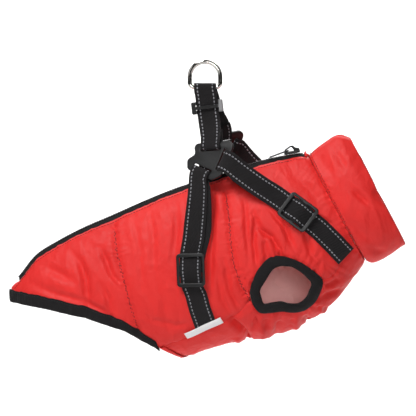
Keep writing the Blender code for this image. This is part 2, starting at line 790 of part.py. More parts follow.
def frame_axes(route, side):
    """Middle and axes of a strap adjuster on its route: across, along and out."""
    k = next(k for k, row in enumerate(route) if row[0] == "frame")
    point, out = on_side(route[k][1], route[k][2], side, 0.0)
    before = on_side(route[k - 1][1], route[k - 1][2], side, 0.0)[0]
    after = on_side(route[k + 1][1], route[k + 1][2], side, 0.0)[0]
    along = after - before
    along = along - out * np.dot(along, out)
    along = along / np.linalg.norm(along)
    return point, np.cross(out, along), along, out


def adjusters():
    slots = []
    for sign in (-1, 1):
        centre = (0.0, sign * (FRAME_SLOT + FRAME_BAR) / 2)
        slots.append(box_outline(WEBBING_WIDTH + 0.9, FRAME_SLOT, 1.5, centre))
    outlines = [box_outline(FRAME_WIDTH, FRAME_LENGTH, 4.0), *slots]
    for strap, route in (("rear", REAR_ROUTE), ("front", FRONT_ROUTE)):
        for word, side in SIDES:
            point, across, along, out = frame_axes(route, side)
            matrix = place_matrix(point + out * FRAME_LIFT, across, along)
            plate(f"{strap}_adjuster_{word}", outlines, FRAME, matrix, BLACK_PLASTIC, 0.5)


def unit(way):
    return way / np.linalg.norm(way)


def webbing(name, rows, turned):
    """Webbing from rows (middle, across, out, lift): with a lift it lies on the cloth,
    bent to it at its edges too, and without one it is flat. The first rows are the layer
    behind, which lies the other way up."""
    outer, inner = [], []
    for k, (middle, across, out, lift) in enumerate(rows):
        upper, lower = [], []
        for f in (-1 / 2, -1 / 6, 1 / 6, 1 / 2):
            spot, normal = middle + across * (f * WEBBING_WIDTH), out
            if lift is not None:
                base, normal = on_side(spot[0], spot[2], NEAR if middle[1] < 0 else FAR)
                spot = base + normal * lift
                normal = -normal if k < turned else normal
            upper.append(spot + normal * WEBBING / 2)
            lower.append(spot - normal * WEBBING / 2)
        outer.append(upper)
        inner.append(lower)
    wall(name, outer, inner, BLACK_WEB)


def finer(route, spacing=11.0):
    """The route with more rows where it lies on the cloth."""
    rows = [route[0]]
    for row in route[1:]:
        before = rows[-1]
        if row[0] == "on" and before[0] == "on":
            parts = int(hypot(row[1] - before[1], row[2] - before[2]) / spacing) + 1
            for k in range(1, parts):
                rows.append(("on", before[1] + (row[1] - before[1]) * k / parts,
                             before[2] + (row[2] - before[2]) * k / parts, 0))
        rows.append(row)
    return rows


def side_strap(strap, route, side):
    """Rear or front strap: up under the adjuster, round its slot, back over the adjuster
    and down to the seam that holds its end."""
    route = finer(route)
    loop, away, slot_across, out = slot_loop(strap, side)
    shift = np.array(FAR_CONNECTOR_SHIFT) if side == FAR else np.zeros(3)
    frame_point, frame_across, frame_along, frame_out = frame_axes(route, side)
    start = (loop[0] + loop[-1]) / 2
    middles = [start]
    for k, (kind, x, z, y) in enumerate(route):
        if kind == "off":
            middles.append(np.array([x, -side * y, z]) + shift * (0.65, 0.3)[k])
        else:
            middles.append(on_side(x, z, side, (LIFT_UNDER + LIFT_OVER) / 2)[0])
    flip = 1 if np.dot(np.cross(out, away), slot_across) > 0 else -1

    def frame(k, f):
        """Across and out at middle k, f of the way from the slot to the cloth."""
        way = unit(middles[min(k + 1, len(middles) - 1)] - middles[k - 1])
        x, _, z = middles[k]
        normal = unit(out * (1 - f) + on_side(x, z, side)[1] * f)
        across = unit(np.cross(normal, way)) * flip
        return across, unit(np.cross(way, across)) * flip

    under, over = [], []
    passed = False
    for k, (kind, x, z, y) in enumerate(route, 1):
        if kind == "off":
            across, normal = frame(k, k / 3)
            part = (1.45, 1.15)[k - 1]
            over.append((middles[k] + normal * part, across, normal, None))
            under.append((middles[k] - normal * part, across, normal, None))
        elif kind == "on":
            across, normal = frame(k, 1.0)
            spot = on_side(x, z, side)[0]
            over.append((spot, across, normal, LIFT_UNDER if passed else LIFT_OVER))
            if not passed:
                under.append((spot, across, normal, LIFT_UNDER))
        else:
            passed = True
            across = frame_across * (1 if np.dot(frame_across, frame(k, 1.0)[0]) > 0 else -1)
            high = FRAME_LIFT + FRAME / 2 + 0.4 + WEBBING / 2
            for step, lift in ((-14.6, LIFT_OVER + 0.1), (-8, 6.1), (-3.0, high - 0.2),
                               (3.0, high - 0.2), (8, 6.1), (14.6, LIFT_OVER + 0.1)):
                spot = frame_point + frame_along * step + frame_out * lift
                over.append((spot, across, frame_out, None))
            for step in (-14, 0):
                under.append((frame_point + frame_along * step, across, frame_out,
                              LIFT_UNDER))
    turn = [(point, slot_across, unit(np.cross(way, slot_across)) * flip, None)
            for point, way in zip(loop, np.gradient(np.array(loop), axis=0))]
    back = [(middle, across, -normal, lift) for middle, across, normal, lift in under[::-1]]
    word = "near" if side == NEAR else "far"
    webbing(f"{strap}_strap_{word}", [*back, *turn, *over], len(back))


def top_slope(side):
    """How far the top strap leans forward on its way down, on one side."""
    middle, u, v, _ = connector_axes(side)
    (slot_u, slot_v), angle = CONNECTOR_SLOTS["top"]
    bar = middle + slot_u * u + slot_v * v
    return bar[0] / (RING_BAR_Z - bar[2] - 5.0)


def top_strap():
    """One length of webbing from the near connector over the ring's bar to the far one."""
    halves = []
    for side in (NEAR, FAR):
        loop, away, slot_across, out = slot_loop("top", side)
        slope = top_slope(side)
        x_way = unit(np.array([1.0, 0.0, slope]))
        if np.dot(np.cross(out, away), slot_across) * -side < 0:
            slot_across = -slot_across
        if slot_across[0] < 0:
            slot_across = -slot_across
        start = loop[-1]
        end = np.array([0.0, side * TOP_LAYER_Y, -54.0])
        end[0] = slope * (RING_BAR_Z - end[2])
        reach = np.linalg.norm(end - start)
        rise = unit(np.array([-slope, 0.0, 1.0]))
        climb = []
        for f in (0.17, 0.33, 0.5, 0.67, 0.84, 1.0):
            a, b = 2 * f**3 - 3 * f**2 + 1, f**3 - 2 * f**2 + f
            c, d = -2 * f**3 + 3 * f**2, f**3 - f**2
            spot = start * a + away * reach * b + end * c + rise * reach * d
            ease = f * f * (3 - 2 * f)
            climb.append((spot, unit(slot_across * (1 - ease) + x_way * ease)))
        behind = [(climb[k][0] - out * gap, climb[k][1]) for k, gap in ((1, 3.4), (0, 4.7))]
        rows = [*behind, *[(point, slot_across) for point in loop], *climb]
        for z, y in ((-41.0, TOP_LAYER_Y), (-34.0, TOP_LAYER_Y + 0.15)):
            rows.append((np.array([slope * (RING_BAR_Z - z), side * y, z]), x_way))
        halves.append(rows)
    radius = RING_WIRE / 2 + 0.45 + WEBBING / 2
    turn = [(np.array([0.0, -radius * cos(radians(a)), RING_BAR_Z + radius * sin(radians(a))]),
             np.array([1.0, 0.0, 0.0])) for a in (-15, 15, 45, 75, 105, 135, 165, 195)]
    rows = [*halves[0], *turn, *halves[1][::-1]]
    points = np.array([point for point, _ in rows])
    ways = np.gradient(points, axis=0)
    outer, inner = [], []
    for point, way, (_, across) in zip(points, ways, rows):
        across = unit(across - unit(way) * np.dot(across, unit(way)))
        out = np.cross(unit(way), across)
        edges = [point - across * WEBBING_WIDTH / 2, point + across * WEBBING_WIDTH / 2]
        outer.append([edge + out * WEBBING / 2 for edge in edges])
        inner.append([edge - out * WEBBING / 2 for edge in edges])
    wall("top_strap", outer, inner, BLACK_WEB)


def lead_ring():
    """D-ring of round wire: half circle above, straight bar below."""
    rise = RING_WIRE / 2 - RING_HALF
    points = [(RING_HALF * cos(radians(a)), rise + RING_HALF * sin(radians(a)))
              for a in range(0, 181, 10)]
    points += [(-RING_HALF, RING_BAR_Z + 6.0), (-RING_HALF + 1.2, RING_BAR_Z + 2.2),
               (-RING_HALF + 3.8, RING_BAR_Z), (RING_HALF - 3.8, RING_BAR_Z),
               (RING_HALF - 1.2, RING_BAR_Z + 2.2), (RING_HALF, RING_BAR_Z + 6.0)]
    curve = bpy.data.curves.new("lead_ring", "CURVE")
    curve.dimensions = "3D"
    curve.bevel_depth = RING_WIRE / 2 * MM
    curve.bevel_resolution = 3
    spline = curve.splines.new("POLY")
    spline.points.add(len(points) - 1)
    for point, (x, z) in zip(spline.points, points):
        point.co = (x * MM, 0.0, z * MM, 1.0)
    spline.use_cyclic_u = True
    add("lead_ring", curve, CHROME)


def top_slide():
    """Slide on the near top layer: one bar in front of the webbing, two behind it."""
    slope = top_slope(NEAR)
    x_way = unit(np.array([1.0, 0.0, slope]))
    middle = (slope * (RING_BAR_Z - TOP_SLIDE_Z), 0, TOP_SLIDE_Z)
    matrix = place_matrix(middle, x_way, (-x_way[2], 0, x_way[0]))
    back, front = 0.4, 5.9
    low, high = TOP_LAYER_Y - 1.2, TOP_LAYER_Y + 1.2
    body = block("top_slide", (35, 13.5, front - back), (0, 0, (front + back) / 2), matrix,
                 BLACK_PLASTIC, 1.0)
    cuts = [block("slide_gap", (25.4, 20, high - low), (0, 0, TOP_LAYER_Y), matrix,
                  BLACK_PLASTIC)]
    for sign in (-1, 1):
        cuts.append(block("slide_front_window", (25.4, 6.0, 6.0), (0, sign * 4.7, high + 2.5),
                          matrix, BLACK_PLASTIC))
    cuts.append(block("slide_back_window", (25.4, 6.4, 6.0), (0, 0, low - 2.5), matrix,
                      BLACK_PLASTIC))
    combine(body, cuts, "DIFFERENCE")


def label():
    points, across = [], []
    for x, z in LABEL_ROUTE:
        point, out = on_side(x, z, NEAR, LABEL_LIFT)
        points.append(point)
        across.append(out)
    along = points[-1] - points[0]
    across = [np.cross(out, along) for out in across]
    ribbon("care_label", points, across, LABEL_WIDTH, LABEL, WHITE_TAPE)


# ---------------------------------------------------------------- build

PULL_HINGE = (-4.2, 4.7)   # along and above the spine line, from the slider's middle
PULL_DROP = 9.0            # the tab rests this many degrees below the line of the zip

clear_scene()
COAT = collection("dog_coat_with_harness")
CUTTERS = collection("cutters")

RED = finish("red_nylon", (0.78, 0.075, 0.065), 0.5)
BLACK_TAPE = finish("black_tape", (0.012, 0.011, 0.012), 0.8)
BLACK_WEB = finish("black_webbing", (0.013, 0.012, 0.013), 0.75)
BLACK_PLASTIC = finish("black_plastic", (0.016, 0.016, 0.017), 0.35)
CHROME = finish("nickel_plate", (0.72, 0.70, 0.67), 0.15, 1.0)
WHITE_TAPE = finish("white_label", (0.82, 0.80, 0.80), 0.6)

BODY_ROWS = numbers(BODY)
COLLAR_ROWS = numbers(COLLAR)
LINES = {side: cut_lines(side) for side in (NEAR, FAR)}
CUTS = cutting_places()

side_panels()
belly_panel()
collar()
hem_bindings()
leg_bands()
zip_pieces()
PULL_AXIS = zip_slider()
connectors()
adjusters()
for _, one_side in SIDES:
    side_strap("rear", REAR_ROUTE, one_side)
    side_strap("front", FRONT_ROUTE, one_side)
top_strap()
lead_ring()
top_slide()
label()
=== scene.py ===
# %% [markdown]
# # A dog coat with a harness, hanging from its ring
# The object is a lightly padded nylon coat for a small dog, zipped along the back, with a
# webbing harness sewn over it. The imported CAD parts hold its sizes. This lesson dresses
# them: cloth gets its creases and stitches, and the fittings get their moulded finish.

from functools import lru_cache
from math import acos, copysign, cos, exp, hypot, pi, radians, sin

import bmesh
import bpy
import numpy as np
from mathutils import Matrix, Vector, noise


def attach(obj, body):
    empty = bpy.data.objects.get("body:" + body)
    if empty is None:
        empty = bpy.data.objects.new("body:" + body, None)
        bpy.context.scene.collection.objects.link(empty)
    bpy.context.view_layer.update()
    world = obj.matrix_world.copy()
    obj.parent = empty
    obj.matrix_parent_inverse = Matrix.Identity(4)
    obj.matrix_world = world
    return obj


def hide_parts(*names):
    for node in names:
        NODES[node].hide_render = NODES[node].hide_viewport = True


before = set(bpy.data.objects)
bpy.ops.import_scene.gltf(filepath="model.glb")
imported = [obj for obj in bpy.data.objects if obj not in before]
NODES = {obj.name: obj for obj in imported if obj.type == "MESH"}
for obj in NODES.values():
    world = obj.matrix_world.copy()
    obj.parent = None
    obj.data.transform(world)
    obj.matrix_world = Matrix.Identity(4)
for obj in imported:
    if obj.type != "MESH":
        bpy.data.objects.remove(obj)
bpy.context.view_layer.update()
MM = 0.001
NEAR, FAR = -1, 1
SIDES = (("near", NEAR), ("far", FAR))

# %% [markdown]
# ## The form that the cloth follows
# A coat like this is cut from flat pieces, but as it hangs it has one body form. Leaning
# sections describe it: each has a point on the spine, one on the keel and a half width.
# A smooth curve through the rows gives every point between, so all the cloth pieces
# share one form and meet at their seams. The tables are in millimetres.

# %% Body and collar sections
BODY = np.array([
    # spine x, z    keel x, z    half width
    (-221, -254.0, -218, -280.0, 12), (-208, -238.0, -202, -294.0, 24),
    (-190, -216.0, -180, -308.0, 33), (-167, -201.0, -150, -320.0, 40),
    (-137, -185.0, -107, -331.0, 45), (-103, -170.0, -57, -335.0, 48),
    (-69, -154.5, -22, -330.0, 50), (-38, -141.5, 6, -320.0, 51),
    (-8, -131.0, 38, -310.5, 52), (24, -121.0, 72, -306.0, 53),
    (50, -111.5, 101, -295.0, 52), (72, -105.0, 126, -281.0, 50),
    (90, -100.5, 147, -262.5, 46), (103, -98.0, 164, -240.0, 42),
    (113, -98.5, 179, -218.5, 38)], float)
COLLAR = np.array([
    (113.5, -98.1, 179.5, -218.1, 39.5), (128.5, -86.5, 190.5, -219.0, 42),
    (145.0, -76.0, 207.0, -209.5, 41), (160.0, -78.5, 224.0, -198.5, 36)], float)
# a section's upper part is narrower than its lower part by this share
FULLNESS = 0.25
SECTION_POINTS = 181
# the length of one place of the collar's table at its middle
COLLAR_STEP = 17.0
print("sections:", len(BODY), "on the body,", len(COLLAR), "on the collar")


# %% Points and outward directions of the form
def catmull_rom(a, b, c, d, f):
    """The curve between b and c, with a before them and d after them."""
    return 0.5 * (2 * b + (c - a) * f + (2 * a - 5 * b + 4 * c - d) * f**2
                  + (3 * b - a - 3 * c + d) * f**3)


def hermite(f):
    """Weights of a start point, its way, an end point and its way."""
    return 2 * f**3 - 3 * f**2 + 1, f**3 - 2 * f**2 + f, -2 * f**3 + 3 * f**2, f**3 - f**2


def unit(way):
    return way / np.linalg.norm(way)


def run_along(points):
    """Length along a row of points, from its start."""
    return np.concatenate([[0], np.cumsum(np.linalg.norm(np.diff(points, axis=0), axis=1))])


def between(rows, at):
    """Rows at places between the rows of a table."""
    at = np.clip(np.asarray(at, float), 0, len(rows) - 1)
    start = np.minimum(at.astype(int), len(rows) - 2)
    longer = np.vstack([2 * rows[0] - rows[1], rows, 2 * rows[-1] - rows[-2]])
    return catmull_rom(*(longer[start + k] for k in range(4)), (at - start)[..., None])


def form(rows, at, phi):
    """Points of the smooth form; phi runs from the spine, near side positive."""
    row = between(rows, at)
    down = (1 - np.cos(phi)) / 2
    return np.stack([row[..., 0] + (row[..., 2] - row[..., 0]) * down,
                     -row[..., 4] * np.sin(phi) * (1 - FULLNESS * np.cos(phi)),
                     row[..., 1] + (row[..., 3] - row[..., 1]) * down], axis=-1)


def outward(rows, at, phi, step=0.02):
    """Directions square to the form, away from its inside."""
    at, phi = np.broadcast_arrays(np.asarray(at, float), np.asarray(phi, float))
    along = form(rows, np.minimum(at + step, len(rows) - 1), phi) - form(
        rows, np.maximum(at - step, 0), phi)
    around = form(rows, at, phi + step) - form(rows, at, phi - step)
    out = np.cross(around, along)
    return out / np.linalg.norm(out, axis=-1, keepdims=True)


def surface(rows, at, phi):
    return form(rows, at, phi), outward(rows, at, phi)


@lru_cache(maxsize=None)
def section(on_collar, at):
    phi = np.linspace(0, 2 * pi, SECTION_POINTS)
    points = form(COLLAR if on_collar else BODY, np.full(SECTION_POINTS, at), phi)
    return phi, run_along(points)


def arcs(rows, at):
    """phi and the length round a section from the spine, all the way round."""
    return section(rows is COLLAR, float(at))


def phi_at(rows, at, length):
    phi, arc = arcs(rows, at)
    return float(np.interp(length, arc, phi))


def arc_at(rows, at, turn):
    phi, arc = arcs(rows, at)
    return float(np.interp(turn, phi, arc))


def place_of(x, z):
    """The body's place and phi over points of the side view."""
    x, z = np.asarray(x, float), np.asarray(z, float)
    low, high = np.zeros(x.shape), np.full(x.shape, len(BODY) - 1.0)
    for _ in range(30):
        middle = (low + high) / 2
        row = between(BODY, middle)
        ahead = ((row[..., 2] - row[..., 0]) * (z - row[..., 1])
                 > (row[..., 3] - row[..., 1]) * (x - row[..., 0]))
        low, high = np.where(ahead, middle, low), np.where(ahead, high, middle)
    row = between(BODY, low)
    down = (z - row[..., 1]) / (row[..., 3] - row[..., 1])
    return low, np.arccos(1 - 2 * np.clip(down, 0, 1))


def on_side(x, z, side, lift=0.0):
    """Points on the body form over points of the side view, and their ways out."""
    at, phi = place_of(x, z)
    base, out = surface(BODY, at, -side * phi)
    return base + out * np.asarray(lift)[..., None], out


print("chest width:", round(2 * abs(form(BODY, 9.0, pi / 2)[1])), "mm")

# %% [markdown]
# ## Where the pieces are cut
# A pattern maker draws the seams on the side of the coat. The same is done here: each
# edge is a line in the side view, and a section of the body meets it at one point. The
# far side hangs limp, so its leg hole lies higher and flatter than the spread near one.

# %% Cutting lines, side view x and z
HEM = ((-226, -268), (-213, -267.5), (-200, -268), (-176, -270), (-153, -274), (-130, -278),
       (-108, -285), (-86, -292), (-64, -305), (-53, -312), (-43, -320), (-36, -326))
BELLY_SEAM = ((-60, -316), (-42, -309), (-20, -300), (23, -280), (40, -268.5))
CHEST_SEAM = ((140, -229), (145, -225), (150, -217), (164, -198), (172, -190))
LEG_HOLE = ((83, -203), (71, -206), (60, -218), (55, -229), (51, -242), (54, -258),
            (62, -269), (74, -269.5), (87, -268.5), (98, -270.5), (111, -269), (123, -260),
            (130, -246), (132, -233), (125, -224), (111, -213), (97, -206))
LEG_OPENING = ((84, -215), (76, -219), (69, -230), (62.5, -242), (64, -251), (67, -258),
               (76, -257), (86, -256), (94, -258.5), (105, -259), (113, -253), (117, -244),
               (119, -235), (111, -225), (100, -217), (92, -215))
# places along the body
SEAM_START, BELLY_BOUND, BELLY_START, BELLY_BOW = 5.36, 5.38, 5.56, 0.6
ZIP_START, ZIP_END, TAIL_END, NECK = 0.8, 13.62, 0.12, 14.0
# lengths on the cloth
ZIP_HALF, TAIL_SLIT, BINDING, SEAM_GAP = 9.0, 1.6, 11.0, 0.35
# the far leg hole: how much higher it hangs, where and over what length
RAISED, RAISED_AT, RAISED_OVER = 28.0, 92.0, 55.0
# how much flatter it is, from the near hole's middle and half height
FLATTER, HOLE_MIDDLE_Z, HOLE_HALF_Z = 0.3, -237, 33


def hang(points, side):
    """Points of the side view as they lie on one side of the coat."""
    if side == NEAR:
        return [tuple(point) for point in points]
    moved = []
    for x, z in points:
        up = RAISED * np.exp(-((x - RAISED_AT) / RAISED_OVER) ** 2)
        moved.append((x, z + up * (1 + FLATTER * (HOLE_MIDDLE_Z - z) / HOLE_HALF_Z)))
    return moved


def round_curve(points, count):
    """A closed Catmull-Rom curve through points of the side view."""
    points = np.array(points, float)
    total = len(points)
    at = np.arange(count) * total / count
    start = at.astype(int)
    return catmull_rom(*(points[(start + j) % total] for j in (-1, 0, 1, 2)),
                       (at - start)[:, None])


def crossings(at, curve):
    """Where the body's section at a place crosses a line of the side view, as phi."""
    sx, sz, kx, kz, _w = between(BODY, at)
    line = (kx - sx, kz - sz)
    found = []
    for (x0, z0), (x1, z1) in zip(curve, curve[1:]):
        turn = line[0] * (z1 - z0) - line[1] * (x1 - x0)
        if abs(turn) < 1e-9:
            continue
        down = ((x0 - sx) * (z1 - z0) - (z0 - sz) * (x1 - x0)) / turn
        along = ((x0 - sx) * line[1] - (z0 - sz) * line[0]) / turn
        if 0 <= along <= 1 and 0 < down < 1:
            found.append(acos(1 - 2 * down))
    return sorted(found)


def cut_lines(side):
    """The seams of one side, run into its leg hole, and where the hole starts and ends."""
    hole = [tuple(p) for p in round_curve(hang(LEG_HOLE, side), 96)]
    at = place_of(*np.array(hole).T)[0].tolist()
    rear, front = hole[at.index(min(at))], hole[at.index(max(at))]
    return {"belly": [*hang(BELLY_SEAM, side), rear, (rear[0] + 4, rear[1] + 2)],
            "chest": [(front[0] - 4, front[1] - 1), front, *hang(CHEST_SEAM, side)],
            "hole": [*hole, hole[0]], "rear": min(at) + 0.015, "front": max(at) - 0.015}


LINES = {side: cut_lines(side) for side in (NEAR, FAR)}


def hem_arc(at):
    return arc_at(BODY, at, crossings(at, HEM)[0])


def side_low(at, side):
    """Lower edge of a side panel: hem, belly seam, leg hole, chest seam."""
    lines = LINES[side]
    if at < SEAM_START:
        return phi_at(BODY, at, hem_arc(at) - BINDING)
    if at < lines["rear"]:
        return crossings(at, lines["belly"])[0]
    if at < lines["front"]:
        return crossings(at, lines["hole"])[0]
    return crossings(at, lines["chest"])[-1]


def belly_high(at, side):
    lines = LINES[side]
    if lines["rear"] <= at < lines["front"]:
        edge = crossings(at, lines["hole"])[-1]
    else:
        edge = side_low(max(at, SEAM_START), side)
    return phi_at(BODY, at, arc_at(BODY, at, edge) + SEAM_GAP)


def belly_bow(at):
    return BELLY_BOW * max(0.0, 1 - (at - BELLY_BOUND) / 2.5) ** 1.5


def fine_places(first, last, spacing):
    """Close places along the body, with the ends of seams and leg holes kept exact."""
    extra = [0.3, 0.72, SEAM_START - 0.005, SEAM_START, BELLY_START]
    for side in (NEAR, FAR):
        rear, front = LINES[side]["rear"], LINES[side]["front"]
        extra += [rear - 0.004, rear + 0.002, front - 0.002, front + 0.004]
    keep = sorted(at for at in extra if first < at < last)
    evenly = [at for at in np.arange(first, last, spacing)
              if all(abs(at - k) > spacing / 3 for k in keep)]
    if last - evenly[-1] < spacing / 3:
        evenly.pop()
    return sorted([*evenly, *keep, last])


print("leg holes run over", [(round(LINES[s]["rear"], 2), round(LINES[s]["front"], 2))
                             for s in (NEAR, FAR)])

# %% [markdown]
# ## Creases, listed one by one
# Padded nylon folds softly: a trough with low banks beside it, fading at its ends. Each
# fold is a row: its depth, its half width and its route in the side view. Stitched lines
# also pull the cloth into small ripples, which die away from the stitches. The far side
# creases alike, a little off these places.

# %% Folds and gathers
FOLDS = (
    # depth, half width, route
    (3.0, 6.5, ((-147, -209), (-137, -217), (-130, -235), (-127, -266))),
    (2.0, 4.2, ((-112, -240), (-104, -255), (-101, -279))),
    (2.4, 4.6, ((-115, -201), (-106, -217), (-100, -230), (-88, -242))),
    (1.8, 7.0, ((-178, -225), (-158, -231), (-143, -239))),
    (1.7, 6.5, ((-194, -243), (-165, -252), (-137, -258), (-110, -267))),
    (1.3, 5.0, ((-126, -262), (-112, -268), (-94, -281))),
    (1.1, 6.0, ((-60, -162), (-55, -190), (-54, -228))),
    (0.9, 5.0, ((-77, -172), (-70, -200), (-66, -242))),
    (1.1, 6.0, ((-52, -235), (-42, -262), (-37, -292))),
    (1.7, 6.0, ((-32, -153), (-29, -175), (-33, -212))),
    (1.2, 5.0, ((-60, -276), (-30, -284), (-14, -281))),
    (3.0, 5.5, ((11, -132), (10, -185), (7, -250))),
    (2.2, 4.4, ((24, -210), (29, -240), (42, -268))),
    (1.6, 4.2, ((16, -226), (21, -250), (32, -274))),
    (3.0, 4.4, ((55, -160), (62, -176), (75, -184), (84, -198), (88, -214))),
    (2.6, 3.8, ((57, -166), (55, -190), (59, -216))),
    (1.8, 3.8, ((67, -184), (70, -212))),
    (1.8, 4.2, ((45, -146), (47, -175), (51, -208))),
    (2.2, 4.6, ((72, -156), (88, -172), (100, -198))),
    (2.0, 4.6, ((112, -180), (119, -207))),
    (1.4, 5.0, ((118, -160), (142, -172))),
    (5.2, 5.5, ((31, -276), (46, -294))),
    (5.0, 4.6, ((46, -291), (52, -316))),
    (2.0, 4.0, ((60, -274), (56, -288))),
    (3.0, 6.0, ((86, -276), (79, -305))),
    (2.0, 4.5, ((70, -274), (69, -290))),
    (1.8, 4.5, ((99, -276), (97, -290))),
    (2.6, 5.5, ((111, -273), (121, -292))),
    (2.8, 6.0, ((128, -254), (154, -247))),
    (2.0, 4.5, ((124, -264), (138, -270))),
    (1.6, 5.0, ((134, -240), (150, -232))),
    (1.2, 8.0, ((93, -110), (130, -150))),
    (-1.8, 7.0, ((36, -300), (39, -312))),
    (-2.0, 8.0, ((64, -284), (68, -306))),
    (-2.0, 7.0, ((99, -278), (104, -296))),
    (-1.6, 8.0, ((128, -266), (136, -276))),
)
QUILTING = (
    (1.5, 4.5, ((-101, -179), (-99, -188), (-97, -202), (-92, -219), (-87, -236), (-82, -254),
                (-74, -282), (-70, -292))),
    (1.4, 4.5, ((24, -139), (25, -147), (28, -165), (30, -188), (34, -214), (42, -236),
                (53, -256))),
)
COLLAR_FOLDS = (
    (2.4, 4.5, ((160, -131), (182, -150))),
    (1.3, 8.0, ((158, -166), (185, -192))),
    (2.4, 8.0, ((184, -131), (202, -147))),
    (1.2, 9.0, ((120, -96), (142, -120))),
    (1.2, 6.0, ((176, -196), (200, -204))),
    (1.0, 6.0, ((142, -92), (156, -112))),
)
SPINE_LINE = [tuple(between(BODY, at)[:2]) for at in np.arange(0.5, 14.1, 0.5)]
NECK_LINE = ((113, -98.5), (179, -218.5))
# the table's folds as they are pressed: deeper and narrower than drawn
FOLD_DEPTH, FOLD_WIDTH = 1.6, 0.82
# height and sharpness of the broad and of the fine crinkles
BROAD_CRINKLE, FINE_CRINKLE = (0.62, 0.17), (0.26, 0.2)
# how far off the far side's folds lie, along and up
FAR_OFF = (5.0, 3.0)
GATHERS = (
    # line, route, pitch, height, reach
    ("leg hole", [*LEG_HOLE, LEG_HOLE[0]], 9.0, 1.2, 10.0),
    ("tail quilting", QUILTING[0][2], 5.2, 0.9, 5.0),
    ("chest quilting", QUILTING[1][2], 5.2, 0.8, 5.0),
    ("belly seam", BELLY_SEAM, 13.0, 0.7, 8.0),
    ("chest seam", CHEST_SEAM, 9.0, 0.7, 8.0),
    ("hem", HEM, 15.0, 0.5, 9.0),
    ("zip", SPINE_LINE, 10.5, 0.35, 7.0),
    ("neck seam", NECK_LINE, 8.0, 0.5, 6.0),
)


def along_route(route, x, z):
    """Distance to a route and the length along it, for many points."""
    best, run = np.full(x.shape, 1e9), 0.0
    place = np.zeros(x.shape)
    for (x0, z0), (x1, z1) in zip(route, route[1:]):
        dx, dz = x1 - x0, z1 - z0
        length = hypot(dx, dz)
        f = np.clip(((x - x0) * dx + (z - z0) * dz) / length**2, 0, 1)
        away = np.hypot(x - x0 - f * dx, z - z0 - f * dz)
        closer = away < best
        best = np.where(closer, away, best)
        place = np.where(closer, run + f * length, place)
        run += length
    return best, place, run


def crinkles(points):
    """Low crinkles that run mostly down the cloth, as slight ridges with soft sides."""
    total = np.empty(points.size // 3)
    for k, (x, y, z) in enumerate(points.reshape(-1, 3).tolist()):
        broad = noise.noise(Vector((x / 19 + z / 70, y / 24, z / 46 - x / 90)))
        fine = noise.noise(Vector((x / 9 - z / 40, y / 11 + 7, z / 17)))
        total[k] = sum(height * exp(-(level / sharp) ** 2) for level, (height, sharp)
                       in ((broad, BROAD_CRINKLE), (fine, FINE_CRINKLE)))
    return total.reshape(points.shape[:-1])


def pressed(points, folds, gathers=GATHERS):
    """How far folds and gathers press the cloth in at many points."""
    far = points[..., 1] > 0
    x = points[..., 0] + np.where(far, FAR_OFF[0], 0.0)
    z = points[..., 2] + np.where(far, FAR_OFF[1], 0.0)
    total = -crinkles(points)
    for depth, half, route in folds:
        away, place, run = along_route(route, x, z)
        end = np.clip(np.minimum(place, run - place) / (0.3 * run), 0, 1)
        r = (away / (FOLD_WIDTH * half)) ** 2
        fade = 0.3 + 0.7 * end * end * (3 - 2 * end)
        total += FOLD_DEPTH * depth * fade * (1 - 0.5 * r) * np.exp(-r)
    z = points[..., 2]
    for _, route, pitch, height, reach in gathers:
        if len(route) > 12 and route[0] == route[-1]:
            raised = hang(route, FAR)
            near_away, near_place, _run = along_route(route, points[..., 0], z)
            far_away, far_place, _run = along_route(raised, points[..., 0], z)
            away = np.where(far, far_away, near_away)
            place = np.where(far, far_place, near_place)
        else:
            away, place, _run = along_route(route, points[..., 0], z)
        wander = place + 0.22 * pitch * np.sin(place * 2 * pi / (pitch * 3.7) + len(route))
        swell = 0.65 + 0.35 * np.sin(place * 2 * pi / (pitch * 5.3) + 1)
        total += height * swell * np.exp(-away / reach) * np.sin(wander * 2 * pi / pitch)
    return total


print("folds:", len(FOLDS) + len(QUILTING) + len(COLLAR_FOLDS))
print("gathered along:", ", ".join(line for line, *_ in GATHERS))

# %% [markdown]
# ## Helpers for finished pieces
# Each piece is one bmesh turned into an object at the origin. A grid operator makes the
# sheets: it starts flat, and each of its points is then moved to its place on the form.
# Its own UV map keeps the true length along and across, in metres, for weaves and ribs.


# %% Finish a mesh, move a grid onto a form
def keep(name, mesh, material, body="coat", node=None, slot=None):
    """Turn a bmesh into a piece that rides on a body and may stand for a CAD node."""
    data = bpy.data.meshes.new(name)
    mesh.to_mesh(data)
    mesh.free()
    data.shade_smooth()
    for finish in material if isinstance(material, list) else [material]:
        data.materials.append(finish)
    piece = bpy.data.objects.new(name, data)
    bpy.context.scene.collection.objects.link(piece)
    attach(piece, body)
    if node:
        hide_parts(node)
    return piece


def laid_grid(points, closed=False):
    """A grid of quads whose points are given in rows; its UV is true length, in metres."""
    points = np.asarray(points, float) * MM
    rows, width = points.shape[:2]
    mesh = bmesh.new()
    bmesh.ops.create_grid(mesh, x_segments=rows - 1, y_segments=width - 1, size=0.5)
    spots = {}
    for vert in mesh.verts:
        i, k = round((vert.co.x + 0.5) * (rows - 1)), round((vert.co.y + 0.5) * (width - 1))
        spots[vert] = (i, k)
        vert.co = points[i, k]
    long_way = run_along(points[:, width // 2])
    across = np.cumsum(np.linalg.norm(np.diff(points, axis=1), axis=2), axis=1)
    across = np.hstack([np.zeros((rows, 1)), across])
    layer = mesh.loops.layers.uv.new("cloth")
    for face in mesh.faces:
        for loop in face.loops:
            i, k = spots[loop.vert]
            loop[layer].uv = (across[i, k], long_way[i])
    if closed:
        bmesh.ops.remove_doubles(mesh, verts=mesh.verts, dist=0.02 * MM)
    return mesh


